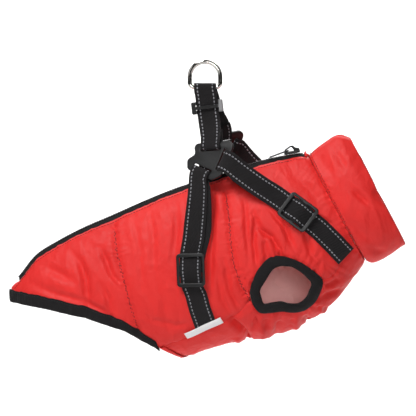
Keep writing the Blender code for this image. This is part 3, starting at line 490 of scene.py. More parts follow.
def face_out(mesh, inside):
    """Turn the sheet so that its faces look away from points inside the coat."""
    mesh.normal_update()
    total = sum((face.calc_center_median() - Vector(inside(face.calc_center_median())))
                .dot(face.normal) * face.calc_area() for face in mesh.faces)
    if total < 0:
        bmesh.ops.reverse_faces(mesh, faces=mesh.faces)
    return mesh


def soft_edge(piece, name, width, segments, degrees):
    """Round the edges that are sharper than an angle."""
    soft = piece.modifiers.new(name, "BEVEL")
    soft.width, soft.segments, soft.limit_method = width * MM, segments, "ANGLE"
    soft.angle_limit = radians(degrees)


def axes(x, y, z):
    """The turn that lays the world's axes along three ways."""
    return Matrix((x, y, z)).transposed().to_4x4()


def thicken(piece, thick, offset=-1.0, lining=False, bevel=0.0):
    """Give a sheet its wall, with the lining's finish inside where it has one."""
    wall = piece.modifiers.new("wall", "SOLIDIFY")
    wall.thickness, wall.offset = thick * MM, offset
    wall.use_even_offset = False
    if lining:
        wall.material_offset = 1
    if bevel:
        soft_edge(piece, "soft edge", bevel, 2, 50)


def sheet_area(piece):
    return sum(face.area for face in piece.data.polygons)


def declare_panel(piece):
    print(piece.name, "area", round(sheet_area(piece), 4), "m2")


def declare_strip(piece, width):
    length = sheet_area(piece) / (width * MM)
    return round(length, 3)


# %% [markdown]
# ## Finishes
# Nylon shines softly in broad patches and wrinkles finely; webbing, rib and tape are matt
# with a weave; fittings are moulded black plastic and the ring is plated wire. Two
# effects serve several finishes, so they are node groups: a weave of crossing threads,
# and a handling pattern of faint scuffs and shade that no real surface is without.


# %% Node helpers and two shared effects
def node(tree, kind, links=(), **values):
    """A shader node with its inputs linked or set, and its own values."""
    made = tree.nodes.new(kind)
    for name, value in values.items():
        setattr(made, name, value)
    for socket, source in links:
        if isinstance(source, bpy.types.NodeSocket):
            tree.links.new(source, made.inputs[socket])
        else:
            made.inputs[socket].default_value = source
    return made


def maths(tree, operation, *sources):
    return node(tree, "ShaderNodeMath", list(enumerate(sources)), operation=operation).outputs[0]


def group(name, inputs, outputs):
    """A new node group: its tree, what it is given and what it gives."""
    tree = bpy.data.node_groups.new(name, "ShaderNodeTree")
    for socket, kind, value in inputs:
        made = tree.interface.new_socket(socket, in_out="INPUT", socket_type=f"NodeSocket{kind}")
        if value is not None:
            made.default_value = value
    for socket, kind in outputs:
        tree.interface.new_socket(socket, in_out="OUTPUT", socket_type=f"NodeSocket{kind}")
    return tree, node(tree, "NodeGroupInput").outputs, node(tree, "NodeGroupOutput").inputs


def weave_group():
    """Crossing threads on a UV in metres: raised height, and a mask of the gaps."""
    tree, given, out = group("crossing threads",
                             [("UV", "Vector", None), ("Pitch", "Float", 0.001),
                              ("Slant", "Float", 0.0)], [("Height", "Float"), ("Gaps", "Float")])
    split = node(tree, "ShaderNodeSeparateXYZ", [(0, given["UV"])]).outputs
    leaned = maths(tree, "ADD", split["X"], maths(tree, "MULTIPLY", split["Y"], given["Slant"]))
    waves = []
    for source in (leaned, split["Y"]):
        turn = maths(tree, "MULTIPLY", maths(tree, "DIVIDE", source, given["Pitch"]), 2 * pi)
        waves.append(maths(tree, "SINE", turn))
    crossed = maths(tree, "MULTIPLY", waves[0], waves[1])
    height = maths(tree, "MULTIPLY_ADD", crossed, 0.5, 0.5)
    tree.links.new(height, out["Height"])
    tree.links.new(maths(tree, "SUBTRACT", 1.0, maths(tree, "POWER", height, 0.6)), out["Gaps"])
    return tree


def handled_group():
    """Faint cloudy shade and small scuffs from use, on Object coordinates."""
    tree, given, out = group("handled surface",
                             [("Point", "Vector", None), ("Size", "Float", 40.0)],
                             [("Cloud", "Float"), ("Scuff", "Float")])
    cloud = node(tree, "ShaderNodeTexNoise",
                 [("Vector", given["Point"]), ("Scale", given["Size"]), ("Detail", 3.0)])
    tree.links.new(cloud.outputs["Fac"], out["Cloud"])
    finer = maths(tree, "MULTIPLY", given["Size"], 9.0)
    scuff = node(tree, "ShaderNodeTexNoise",
                 [("Vector", given["Point"]), ("Scale", finer), ("Detail", 4.0)])
    tree.links.new(maths(tree, "POWER", scuff.outputs["Fac"], 3.0), out["Scuff"])
    return tree


WEAVE, HANDLED = weave_group(), handled_group()
# the colour sockets of a mix node
MIX_DARK, MIX_LIGHT, MIX_RESULT = 6, 7, 2


def start_finish(name, roughness, metallic=0.0, sheen=0.0, specular=0.5):
    """A material with its shader, its coordinates and the handling pattern on them."""
    made = bpy.data.materials.new(name)
    made.use_nodes = True
    tree = made.node_tree
    shader = tree.nodes["Principled BSDF"]
    shader.inputs["Roughness"].default_value = roughness
    shader.inputs["Metallic"].default_value = metallic
    shader.inputs["Specular IOR Level"].default_value = specular
    if sheen:
        shader.inputs["Sheen Weight"].default_value = sheen
        shader.inputs["Sheen Roughness"].default_value = 0.4
    place = node(tree, "ShaderNodeTexCoord").outputs
    handled = node(tree, "ShaderNodeGroup", node_tree=HANDLED)
    tree.links.new(place["Object"], handled.inputs["Point"])
    return made, tree, shader, place, handled


def tint(tree, shader, dark, light, by):
    """Base Color between a dark and a light shade by a mask."""
    ramp = node(tree, "ShaderNodeMix", [("Factor", by), (MIX_DARK, (*dark, 1)),
                                        (MIX_LIGHT, (*light, 1))], data_type="RGBA")
    tree.links.new(ramp.outputs[MIX_RESULT], shader.inputs["Base Color"])


def raise_by(tree, shader, *heights):
    """Chain bumps (height, distance in metres, strength) into the shader's normal."""
    normal = None
    for height, distance, strength in heights:
        bump = node(tree, "ShaderNodeBump",
                    [("Height", height), ("Distance", distance), ("Strength", strength)])
        if normal is not None:
            tree.links.new(normal, bump.inputs["Normal"])
        normal = bump.outputs["Normal"]
    tree.links.new(normal, shader.inputs["Normal"])


def srgb(*values):
    """Colour as seen on a screen, 0 to 255, as the light it stands for."""
    return tuple((v / 255 / 12.92) if v <= 10 else ((v / 255 + 0.055) / 1.055) ** 2.4
                 for v in values)


print("shared effects:", WEAVE.name, "and", HANDLED.name)


# %% Cloth finishes
def nylon(name, dark, light, crinkle):
    """Downproof nylon: fine weave, small crinkles between the folds, broad soft shine."""
    made, tree, shader, place, handled = start_finish(name, 0.55, sheen=0.04, specular=0.25)
    handled.inputs["Size"].default_value = 22.0
    tint(tree, shader, dark, light, handled.outputs["Cloud"])
    weave = node(tree, "ShaderNodeGroup", [("UV", place["UV"]), ("Pitch", 0.0006)],
                 node_tree=WEAVE)
    stretched = node(tree, "ShaderNodeMapping", [("Vector", place["Object"]),
                                                 ("Rotation", (0, radians(25), 0)),
                                                 ("Scale", (90, 70, 48))])
    soft = node(tree, "ShaderNodeTexNoise", [("Vector", stretched.outputs[0]), ("Scale", 1.0),
                                             ("Detail", 2.5), ("Distortion", 0.6)])
    fine = node(tree, "ShaderNodeTexNoise", [("Vector", place["Object"]), ("Scale", 210.0),
                                             ("Detail", 3.0)])
    shine = maths(tree, "MULTIPLY_ADD", fine.outputs["Fac"], 0.2, 0.44)
    tree.links.new(shine, shader.inputs["Roughness"])
    raise_by(tree, shader, (soft.outputs["Fac"], 0.0026, crinkle),
             (fine.outputs["Fac"], 0.0007, 0.5), (weave.outputs["Height"], 0.00008, 0.25))
    return made


def woven(name, dark, light, pitch, slant, depth, roughness=0.85, sheen=0.05):
    """Matt tape or webbing with a weave that shows."""
    made, tree, shader, place, handled = start_finish(name, roughness, sheen=sheen, specular=0.3)
    weave = node(tree, "ShaderNodeGroup", [("UV", place["UV"]), ("Pitch", pitch),
                                           ("Slant", slant)], node_tree=WEAVE)
    mixed = maths(tree, "MULTIPLY_ADD", weave.outputs["Height"], 0.75,
                  maths(tree, "MULTIPLY", handled.outputs["Cloud"], 0.3))
    tint(tree, shader, dark, light, mixed)
    raise_by(tree, shader, (weave.outputs["Height"], depth, 0.7),
             (handled.outputs["Scuff"], 0.0003, 0.4))
    return made


RED = nylon("red nylon", srgb(208, 37, 36), srgb(229, 48, 44), 0.5)
LINING = nylon("mauve lining", srgb(253, 200, 196), srgb(255, 214, 210), 0.3)
BINDING_TAPE = woven("black binding tape", srgb(8, 7, 8), srgb(24, 21, 23), 0.0009, 0.0, 0.0002)
RIB = woven("black rib knit", srgb(8, 7, 8), srgb(26, 23, 25), 0.0013, 0.0, 0.0004)
WEBBING_CLOTH = woven("black webbing", srgb(8, 7, 8), srgb(34, 31, 33), 0.0018, 0.5, 0.0008)
ZIP_CLOTH = woven("black zip tape", srgb(8, 7, 8), srgb(22, 20, 21), 0.0008, 0.3, 0.0002)
LABEL_CLOTH = woven("bare white label", srgb(226, 223, 224), srgb(246, 244, 245), 0.0008, 0.0,
                    0.0001, 0.55, 0.1)


def thread(name, dark, light, roughness=0.6, sheen=0.0):
    made, tree, shader, place, handled = start_finish(name, roughness, sheen=sheen, specular=0.3)
    handled.inputs["Size"].default_value = 160.0
    tint(tree, shader, dark, light, handled.outputs["Cloud"])
    raise_by(tree, shader, (handled.outputs["Scuff"], 0.0002, 0.5))
    return made


DARK_THREAD = thread("dark red thread", srgb(112, 18, 20), srgb(152, 30, 32))
BLACK_THREAD = thread("black thread", srgb(10, 9, 10), srgb(34, 31, 33))
GREY_THREAD = thread("pale reflective thread", srgb(112, 112, 117), srgb(158, 158, 164), 0.4, 0.2)


def plastic(name, dark, light, roughness):
    """Moulded plastic: fine grain, paler scuffed edges and a dull shine."""
    made, tree, shader, place, handled = start_finish(name, roughness)
    handled.inputs["Size"].default_value = 60.0
    tint(tree, shader, dark, light, handled.outputs["Scuff"])
    grain = node(tree, "ShaderNodeTexNoise", [("Vector", place["Object"]), ("Scale", 900.0),
                                              ("Detail", 2.0)])
    rough = maths(tree, "MULTIPLY_ADD", handled.outputs["Cloud"], 0.2, roughness - 0.08)
    tree.links.new(rough, shader.inputs["Roughness"])
    raise_by(tree, shader, (grain.outputs["Fac"], 0.00012, 0.4))
    return made


PLASTIC = plastic("moulded black plastic", srgb(6, 6, 7), srgb(30, 30, 32), 0.4)
ZIP_PLASTIC = plastic("black zip plastic", srgb(7, 7, 8), srgb(32, 31, 33), 0.32)
SLIDE_PLASTIC = plastic("slide with a painted highlight on its end", srgb(8, 8, 9), srgb(44, 44, 46), 0.3)
# the slide's front end is painted pale grey: a painted highlight standing for the shine on it
tree = SLIDE_PLASTIC.node_tree
shader = tree.nodes["Principled BSDF"]
before = shader.inputs["Base Color"].links[0].from_socket
place = node(tree, "ShaderNodeSeparateXYZ",
             [(0, node(tree, "ShaderNodeTexCoord").outputs["Object"])]).outputs
# painted highlight: pale grey is mixed in towards the slide's front end, by its x
painted_highlight = node(tree, "ShaderNodeMapRange", [("Value", place["X"]), ("From Min", 0.0142),
                                         ("From Max", 0.0162), ("To Max", 0.85)])
pale = node(tree, "ShaderNodeMix", [("Factor", painted_highlight.outputs["Result"]), (MIX_DARK, before),
                                    (MIX_LIGHT, (*srgb(150, 150, 152), 1))], data_type="RGBA")
tree.links.new(pale.outputs[MIX_RESULT], shader.inputs["Base Color"])
NICKEL, tree, shader, place, handled = start_finish("plated ring wire", 0.14, metallic=1.0)
tint(tree, shader, srgb(196, 190, 184), srgb(232, 228, 222), handled.outputs["Cloud"])
tree.links.new(maths(tree, "MULTIPLY_ADD", handled.outputs["Scuff"], 0.35, 0.09),
               shader.inputs["Roughness"])
raise_by(tree, shader, (handled.outputs["Scuff"], 0.00006, 0.5))
print("finishes:", len(bpy.data.materials))

# %% [markdown]
# ## Side panels
# The two back panels are padded nylon with a mauve lining, and each runs from the zip to
# the hem, the belly seam and the leg hole. A sheet on the body form gets its folds, the
# rows of quilting, and a turned-in groove at every sewn edge. The Solidify modifier adds
# the wall and gives its inner face the lining.


# %% Panels on the form
# points across a side panel and the belly panel, and the wall of both
SIDE_POINTS, BELLY_POINTS, PANEL_WALL = 112, 116, 2.7
# depth and half width of a sewn edge and of a row of quilting's narrow groove
EDGE_GROOVE, QUILT_GROOVE = (1.0, 3.0), (1.4, 1.8)
# how far a cut edge goes on below the piece beside it, and how deep
UNDER_HEM, UNDER_BAND, UNDER_SEAM, UNDER_COLLAR = (4.5, 0.1), (3.2, 0.5), (0.9, 1.3), (1.3, 0.9)
UNDER_BELLY_HEM, BELLY_SEAM_REACH = (3.0, 0.1), 0.15
# how much each panel's edge rises to the zip
ZIP_PUFF = {NEAR: -0.3, FAR: 2.0}


def even_phis(rows, at, first, last, count):
    """Evenly spaced phis round a section, and the length to each of them."""
    phi, arc = arcs(rows, at)
    if last > phi[-1]:
        phi = np.concatenate([phi, phi[1:] + 2 * pi])
        arc = np.concatenate([arc, arc[1:] + arc[-1]])
    ends = np.interp([first, last], phi, arc)
    spots = np.linspace(ends[0], ends[1], count)
    return np.interp(spots, arc, phi), spots - ends[0]


def wandering(route):
    """A sewn route in short steps, drawn a little to and fro by its stitches."""
    steps, k = [], 0
    for (x0, z0), (x1, z1) in zip(route, route[1:]):
        length = hypot(x1 - x0, z1 - z0)
        for f in np.arange(0, length, 2.2) / length:
            aside = (0.75 * (-1) ** k + 0.4 * sin(k * 1.7)) * min(1.0, k / 4)
            steps.append((x0 + (x1 - x0) * f + aside * (z1 - z0) / length,
                          z0 + (z1 - z0) * f - aside * (x1 - x0) / length))
            k += 1
    return [*steps, tuple(route[-1])]


SEWN_ROUTES = [(depth, half, route, wandering(route)) for depth, half, route in QUILTING]


def quilted(base, sewn=SEWN_ROUTES):
    """How far the rows of quilting draw the cloth in: a soft dip and a narrow groove."""
    total = np.zeros(base.shape[:-1])
    for depth, half, route, small_steps in sewn:
        away, _, _ = along_route(route, base[..., 0], base[..., 2])
        total += depth * np.exp(-(away / half) ** 2)
        away, _, _ = along_route(small_steps, base[..., 0], base[..., 2])
        total += QUILT_GROOVE[0] * np.exp(-(away / QUILT_GROOVE[1]) ** 2)
    return total


def panel_points(stations, edges, count, side=NEAR, bow=None):
    """Rows of points of a cut piece of the body, with folds, quilting and turned-in
    edges, and the ways out there."""
    at, phi, run = [], [], []
    for place in stations:
        spots, lengths = even_phis(BODY, place, *edges(place), count)
        bend = bow(place) * np.sin(pi * np.arange(count) / (count - 1)) if bow else 0.0
        at.append(place + bend + np.zeros(count))
        phi.append(spots * -side)
        run.append(lengths)
    at, phi, run = np.array(at), np.array(phi), np.array(run)
    base, out = surface(BODY, at, phi)
    long_way = run_along(base[:, count // 2])[:, None]
    edge = np.minimum(np.minimum(run, run[:, -1:] - run),
                      np.minimum(long_way, long_way[-1] - long_way))
    depth, half = EDGE_GROOVE
    lift = -depth * np.exp(-(edge / half) ** 2) - pressed(base, FOLDS)
    lift = lift - quilted(base)
    return base + out * lift[..., None], out


def tucked(points, out, reach, depth, edge="last"):
    """One more line of points beyond an edge, turned in under the piece beside it."""
    if edge == "first":
        points, out = points[:, ::-1], out[:, ::-1]
    way = points[:, -1] - points[:, -2]
    way = way / np.linalg.norm(way, axis=-1, keepdims=True)
    reach, depth = (np.broadcast_to(v, len(points))[:, None] for v in (reach, depth))
    extra = points[:, -1] + way * reach - out[:, -1] * depth
    points = np.concatenate([points, extra[:, None]], axis=1)
    out = np.concatenate([out, out[:, -1:]], axis=1)
    return (points[:, ::-1], out[:, ::-1]) if edge == "first" else (points, out)


def tucked_row(points, out, reach, depth, edge="last"):
    """The same, for one more row at the rear or at the front."""
    points, out = tucked(points.transpose(1, 0, 2), out.transpose(1, 0, 2), reach, depth, edge)
    return points.transpose(1, 0, 2), out.transpose(1, 0, 2)


CENTRES = form(BODY, np.arange(0, NECK + 0.01, 0.25), pi / 2)


def spine_inside(point):
    """A point in the middle of the hollow below a point of the coat."""
    x = point[0] / MM
    return x * MM, 0.0, float(np.interp(x, CENTRES[:, 0], CENTRES[:, 2])) * MM


def zip_edge(at):
    """How far from the spine a panel starts: the zip's half, or the slit at the tail."""
    f = min(max((at - 0.3) / 0.42, 0.0), 1.0)
    return TAIL_SLIT + (ZIP_HALF - TAIL_SLIT) * f


def below(at, side):
    """How far and how deep a side panel's lower edge goes on at a place."""
    if at < SEAM_START:
        return UNDER_HEM
    return UNDER_BAND if LINES[side]["rear"] < at < LINES[side]["front"] else UNDER_SEAM


PLACES = fine_places(TAIL_END, NECK, spacing=0.055)
for word, side in SIDES:
    def panel_edges(at, side=side):
        return phi_at(BODY, at, zip_edge(at)), side_low(at, side)

    points, out = panel_points(PLACES, panel_edges, SIDE_POINTS, side)
    puff = ZIP_PUFF[side] * np.exp(-(np.arange(SIDE_POINTS) / 4.0) ** 2)
    points = points + out * (puff * np.clip(np.array(PLACES) - 0.6, 0, 1)[:, None])[..., None]
    under = np.array([below(at, side) for at in PLACES])
    points, out = tucked(points, out, under[:, 0], under[:, 1])
    points, out = tucked_row(points, out, *UNDER_COLLAR)
    piece = keep(f"side_panel_{word}_cloth", face_out(laid_grid(points), spine_inside),
                 [RED, LINING], node=f"side_panel_{word}", slot="red_nylon")
    thicken(piece, PANEL_WALL, lining=True)
    declare_panel(piece)

# %% [markdown]
# ## Belly panel
# One piece goes under the belly from one leg hole to the other, and up the chest to the
# neck. It is slack where the near leg hole pulls on it, so it puckers along the keel.

# %% Belly panel
BELLY_PLACES = [at for at in PLACES if at >= BELLY_START]


def belly_edges(at):
    return belly_high(at, NEAR), 2 * pi - belly_high(at, FAR)


points, out = panel_points(BELLY_PLACES, belly_edges, BELLY_POINTS, bow=belly_bow)
for side, edge in ((NEAR, "first"), (FAR, "last")):
    reach = [UNDER_BAND[0] if LINES[side]["rear"] < at < LINES[side]["front"]
             else BELLY_SEAM_REACH for at in BELLY_PLACES]
    points, out = tucked(points, out, reach, UNDER_BAND[1], edge)
points, out = tucked_row(points, out, *UNDER_COLLAR)
points, out = tucked_row(points, out, *UNDER_BELLY_HEM, "first")
piece = keep("belly_panel_cloth", face_out(laid_grid(points), spine_inside), [RED, LINING],
             node="belly_panel", slot="red_nylon")
thicken(piece, PANEL_WALL, lining=True)
declare_panel(piece)

# %% [markdown]
# ## Collar
# The tall collar is padded twice and turned over at its mouth, so its rim is a soft roll
# and not a cut edge. Its sheet goes up the outside, round the roll and down inside, and
# stays open in a slit at the back of the neck.

# %% Collar
OUT_STEPS, ROLL_STEPS, ROUND_STEPS, COLLAR_WALL, SLIT = 36, 8, 150, 4.8, 4.5
# places of the neck seam, close together, then of the body of the collar up to its roll
SEAM_PLACES, ROLL_START, ROLL_REACH = (0.0, 0.02, 0.06, 0.12, 0.2), 2.93, 0.07
rows = []
outer_places = np.array([*SEAM_PLACES,
                         *np.linspace(0.3, ROLL_START, OUT_STEPS - len(SEAM_PLACES))])
for k in range(2 * OUT_STEPS + ROLL_STEPS):
    if k < OUT_STEPS:
        place, lift = outer_places[k], 0.0
    elif k < OUT_STEPS + ROLL_STEPS:
        turn = pi * (k - OUT_STEPS + 1) / (ROLL_STEPS + 1)
        place = ROLL_START + ROLL_REACH * sin(turn)
        lift = -COLLAR_WALL / 2 * (1 - cos(turn))
    else:
        place, lift = outer_places[2 * OUT_STEPS + ROLL_STEPS - 1 - k], -COLLAR_WALL
    first = phi_at(COLLAR, place, SLIT)
    spots, lengths = even_phis(COLLAR, place, first, 2 * pi - first, ROUND_STEPS)
    at = np.full(ROUND_STEPS, place)
    base, out = surface(COLLAR, at, spots)
    edge = np.minimum(lengths, lengths[-1] - lengths)
    # the two layers meet at the slit and at the neck seam
    closing = np.maximum(np.exp(-(edge / 2.6) ** 2), np.exp(-(place * COLLAR_STEP / 0.8) ** 2))
    depth = pressed(base, COLLAR_FOLDS, GATHERS[-1:])
    seam = 0.9 * np.exp(-(place * COLLAR_STEP / 3.2) ** 2) * (k < OUT_STEPS)
    ripple = 0.7 * np.sin(spots * 5 + 1.2) * (place / 3.0) ** 3
    level = (lift - depth - seam) * (1 - closing) + (-COLLAR_WALL / 2) * closing
    rows.append(base + out * (level + ripple * (1 - closing))[:, None])
mesh = laid_grid(np.array(rows), closed=True)
bmesh.ops.recalc_face_normals(mesh, faces=mesh.faces)
piece = keep("collar_cloth", mesh, RED, node="collar", slot="red_nylon")
print(piece.name, "points", len(piece.data.vertices))

# %% [markdown]
# ## Bindings and leg bands
# The tail hem is bound with tape folded over its edge, so each binding is a strip whose
# section goes down outside, round the edge and up again inside. A leg band is a knitted
# tube, fuller and springy, and the stitches that hold it draw it into small waves.


# %% Hem bindings
TAPE_SHOWS = 14.5
# the whole widths that the strips are cut to
HEM_WIDTH, BELLY_HEM_WIDTH, BAND_WIDTH, ZIP_TAPE_WIDTH, LABEL_WIDTH = 27.0, 15.0, 22.0, 11.5, 10.5
# up from the hem's edge in shares of what shows, and lift off the form
BOUND = ((-1.0, 0.05), (-0.95, 0.5), (-0.8, 0.8), (-0.6, 0.95), (-0.4, 0.9), (-0.22, 0.7),
         (-0.1, 0.3), (-0.035, -0.5), (-0.01, -1.5), (-0.035, -2.5), (-0.1, -3.2),
         (-0.28, -3.4), (-0.52, -3.4), (-0.7, -3.3))


def tape_edge(at):
    """How far up the hem its binding reaches; the cut tape end at the tail is ragged."""
    return TAPE_SHOWS + 1.2 * exp(-(at / 0.3) ** 2) + 0.35 * sin(at * 7.0) + 0.2 * sin(at * 19.0)


def bound_rows(stations, side):
    """Rows of a hem binding: each goes once round the folded tape's section."""
    rows = []
    for k, at in enumerate(stations):
        low, wide = hem_arc(at), tape_edge(at)
        phi = np.array([phi_at(BODY, at, low + up * wide) for up, _lift in BOUND]) * -side
        base, out = surface(BODY, np.full(len(BOUND), at), phi)
        lift = np.array([lift for _up, lift in BOUND])
        wave = 0.22 * sin(k * 1.9) + 0.15 * sin(k * 0.83 + 1)
        lift = lift - pressed(base, FOLDS) - quilted(base) + wave * np.clip(lift + 0.4, 0, 1)
        rows.append(base + out * lift[:, None])
    return np.array(rows)


HEM_PLACES = [0.02, *[at for at in PLACES if at < SEAM_START - 0.003]]
for word, side in SIDES:
    mesh = face_out(laid_grid(bound_rows(HEM_PLACES, side)), spine_inside)
    piece = keep(f"hem_binding_{word}_tape", mesh, BINDING_TAPE, node=f"hem_binding_{word}",
                 slot="black_tape")
    thicken(piece, 0.5, offset=0.0, bevel=0.15)
    print(piece.name, declare_strip(piece, HEM_WIDTH), "m")

# the belly's rear hem: forward from its edge in shares of its width, and lift off the form
BELLY_BOUND_SECTION = ((1.0, 0.1), (0.95, 0.5), (0.72, 0.62), (0.45, 0.62), (0.2, 0.45),
                       (0.03, -0.4), (-0.02, -1.5), (0.03, -2.6), (0.25, -3.3), (0.6, -3.4),
                       (0.93, -3.3))
BELLY_HEM_POINTS = 60
rows = []
for f, lift in BELLY_BOUND_SECTION:
    place = BELLY_BOUND + (BELLY_START - SEAM_GAP / 30 - BELLY_BOUND) * f
    spots, _lengths = even_phis(BODY, place, *belly_edges(place), BELLY_HEM_POINTS)
    bow = np.sin(pi * np.arange(BELLY_HEM_POINTS) / (BELLY_HEM_POINTS - 1))
    base, out = surface(BODY, place + belly_bow(place) * bow, spots)
    rows.append(base + out * (lift - pressed(base, FOLDS))[:, None])
mesh = face_out(laid_grid(np.array(rows).transpose(1, 0, 2)), spine_inside)
piece = keep("hem_binding_belly_cloth", mesh, RED, node="hem_binding_belly",
             slot="red_nylon")
thicken(piece, 0.5, offset=0.0, bevel=0.15)
print(piece.name, declare_strip(piece, BELLY_HEM_WIDTH), "m")


# %% Leg bands
# points round a band, how many waves its stitches draw, and how far it starts on the cloth
AROUND, BAND_WAVES, BAND_START = 168, 19, 1.1
# from the seam to the opening in shares of the way, and lift off the form
BAND = ((0.0, -0.3), (0.06, 0.45), (0.2, 1.0), (0.38, 1.35), (0.56, 1.4), (0.74, 1.2),
        (0.9, 0.8), (0.99, 0.0), (1.03, -1.0), (1.0, -2.0), (0.9, -2.8), (0.6, -3.2),
        (0.2, -3.2))
for word, side in SIDES:
    hole, opening = (round_curve(hang(line, side), AROUND) for line in (LEG_HOLE, LEG_OPENING))
    reach = opening - hole
    length = np.linalg.norm(reach, axis=1)
    start = hole + reach * (BAND_START / length)[:, None]
    waves = np.sin(np.arange(AROUND) * 2 * pi * BAND_WAVES / AROUND
                   + 0.7 * np.sin(np.arange(AROUND) / 9))
    rows = []
    for f, lift in BAND:
        spot = start + (opening - start) * f
        bulge = lift + 0.28 * waves * max(0.0, 1 - abs(f - 0.15) * 2) * (lift > 0)
        rows.append(on_side(spot[:, 0], spot[:, 1], side, bulge)[0])
    rows = np.array(rows)
    mesh = laid_grid(np.concatenate([rows, rows[:, :1]], axis=1).transpose(1, 0, 2), closed=True)
    mesh = face_out(mesh, spine_inside)
    piece = keep(f"leg_band_{word}_knit", mesh, RIB, node=f"leg_band_{word}", slot="black_tape")
    thicken(piece, 0.6, offset=0.0)
    print(piece.name, declare_strip(piece, BAND_WIDTH), "m")

# %% [markdown]
# ## Zip
# Two woven tapes lie a little below the padded edges, and the moulded teeth mesh between
# them. Each tooth is the same small bevelled block, set in turn from one side and from
# the other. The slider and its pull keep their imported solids, since their shapes are
# right; modifiers merge their loose triangles and soften their moulded edges.


# %% Blocks, used for teeth and stitches
def blocks(name, spots, size, finish, bevel, slot=None):
    """Many small bevelled blocks in one piece: each has a middle, a way along and out."""
    mesh = bmesh.new()
    for middle, along, out in spots:
        along = Vector(along).normalized()
        across = Vector(out).cross(along).normalized()
        out = along.cross(across)
        bmesh.ops.create_cube(mesh, size=1.0, matrix=Matrix.Translation(Vector(middle) * MM)
                              @ axes(along, across, out)
                              @ Matrix.Diagonal((*(v * MM for v in size), 1)))
    bmesh.ops.bevel(mesh, geom=mesh.edges[:], offset=bevel * MM, segments=1,
                    affect="EDGES", profile=0.5, material=-1)
    return keep(name, mesh, finish, slot=slot)


def along_line(points, outs, pitch, start=0.0):
    """Even places on a line: middle, way along, way out."""
    points, outs = np.asarray(points), np.asarray(outs)
    run = run_along(points)
    places = np.arange(start + pitch / 2, run[-1] - pitch / 2, pitch)
    ways = np.gradient(points, run, axis=0)
    at = [np.stack([np.interp(places, run, table[:, k]) for k in range(3)], axis=1)
          for table in (points, ways, outs)]
    return list(zip(*at))


# %% Zip tapes and teeth
ZIP_PLACES = [ZIP_START, *[at for at in PLACES if ZIP_START + 0.05 < at < ZIP_END - 0.05],
              ZIP_END]
TOOTH, TOOTH_PITCH, TOOTH_ASIDE, TOOTH_DEPTH = (1.3, 3.0, 1.5), 1.45, 0.7, 0.5
END_TAB_HALF, END_TAB_START, END_TAB_LONG, END_TAB_POINTS = 8.6, 0.02, 0.28, 25
# how far out each tape line is from the teeth, and how deep it lies; the far panel's edge
# stands higher, so its tape climbs to it, and both end inside the padded walls
TAPE_LINES = (0.3, 1.5, 3.0, 5.0, 7.0, ZIP_HALF, 11.5)
TAPE_DEPTHS = {NEAR: (-0.9, -0.9, -1.1, -1.4, -1.7, -2.0, -1.7),
               FAR: (-0.9, -0.9, -0.9, -0.7, -0.4, -0.1, 0.1)}


def zip_rise(at):
    """How proud the teeth stand, away from the slider."""
    return 1.1 * min(1.0, max(0.0, 12.0 - at))


zip_tapes = []
outer, inner = np.linspace(0, 1, len(TAPE_LINES)), np.linspace(1, 0, len(TAPE_LINES))
for word, side in SIDES:
    rows = []
    for at in ZIP_PLACES:
        phi = np.array([phi_at(BODY, at, length) for length in TAPE_LINES]) * -side
        base, out = surface(BODY, np.full(len(TAPE_LINES), at), phi)
        dip = np.array(TAPE_DEPTHS[side]) + 0.15 * sin(at * 9.0) * outer
        dip = dip + zip_rise(at) * inner
        rows.append(base + out * dip[:, None])
    mesh = face_out(laid_grid(np.array(rows)), spine_inside)
    piece = keep(f"zip_tape_{word}_woven", mesh, ZIP_CLOTH, node=f"zip_tape_{word}",
                 slot="black_tape")
    thicken(piece, 0.8)
    zip_tapes.append(piece)
places = np.array(ZIP_PLACES)
spine, spine_out = surface(BODY, places, np.zeros(len(places)))
spine = spine + spine_out * np.array([zip_rise(at) for at in places])[:, None]
teeth = []
for k, (middle, along, out) in enumerate(along_line(spine, spine_out, TOOTH_PITCH)):
    across = unit(np.cross(out, along))
    teeth.append((middle + across * (TOOTH_ASIDE if k % 2 else -TOOTH_ASIDE) - out * TOOTH_DEPTH,
                  along, out))
piece = blocks("zip_teeth", teeth, TOOTH, ZIP_PLASTIC, 0.28, slot="black_plastic")
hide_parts("zip_chain")
print("teeth:", len(teeth))

rows = []
across = np.linspace(-1, 1, END_TAB_POINTS)
for at in np.linspace(ZIP_END + END_TAB_START, ZIP_END + END_TAB_START + END_TAB_LONG, 9):
    phi = np.array([phi_at(BODY, at, END_TAB_HALF * abs(f)) * (1 if f > 0 else -1)
                    for f in across])
    base, out = surface(BODY, np.full(END_TAB_POINTS, at), phi)
    f = (at - ZIP_END - END_TAB_START) / END_TAB_LONG
    lift = -1.6 + 4.0 * max(0.0, 1 - (2 * f - 1) ** 4) ** 0.5 * (1 - np.abs(across)**6) ** 0.5
    rows.append(base + out * lift[:, None])
mesh = face_out(laid_grid(np.array(rows)), spine_inside)
end_tab = keep("zip_end_tab_cloth", mesh, RED, node="zip_end_tab", slot="red_nylon")
thicken(end_tab, 0.6)
for piece in zip_tapes:
    declare_strip(piece, ZIP_TAPE_WIDTH)

for name in ("zip_slider", "zip_pull", "top_slide"):
    part = NODES[name]
    part.data.materials.clear()
    part.data.materials.append(ZIP_PLASTIC if "zip" in name else SLIDE_PLASTIC)
    weld = part.modifiers.new("merged", "WELD")
    weld.merge_threshold = 0.02 * MM
    soft_edge(part, "moulded edge", 0.25 if "zip" in name else 0.45, 3, 40)
print("slider, pull and top slide keep their solids")

# %% [markdown]
# ## Webbing
# Each side strap is one length: it comes up under its adjuster, goes round the connector's
# bar and back over the adjuster to the seam that holds it. The top strap goes from one
# connector over the ring's bar to the other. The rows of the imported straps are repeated
# here with smooth rows between them, as a sheet that gets its thickness afterwards.

# %% Connectors, adjusters and routes
# a connector's middle, its turn and tilt in degrees, and how the far one hangs off the mirror
CONNECTOR, CONNECTOR_TURN, CONNECTOR_TILT = (8.0, -24.0, -103.0), 30, 20
FAR_CONNECTOR_SHIFT = (9.0, 0.0, 6.0)
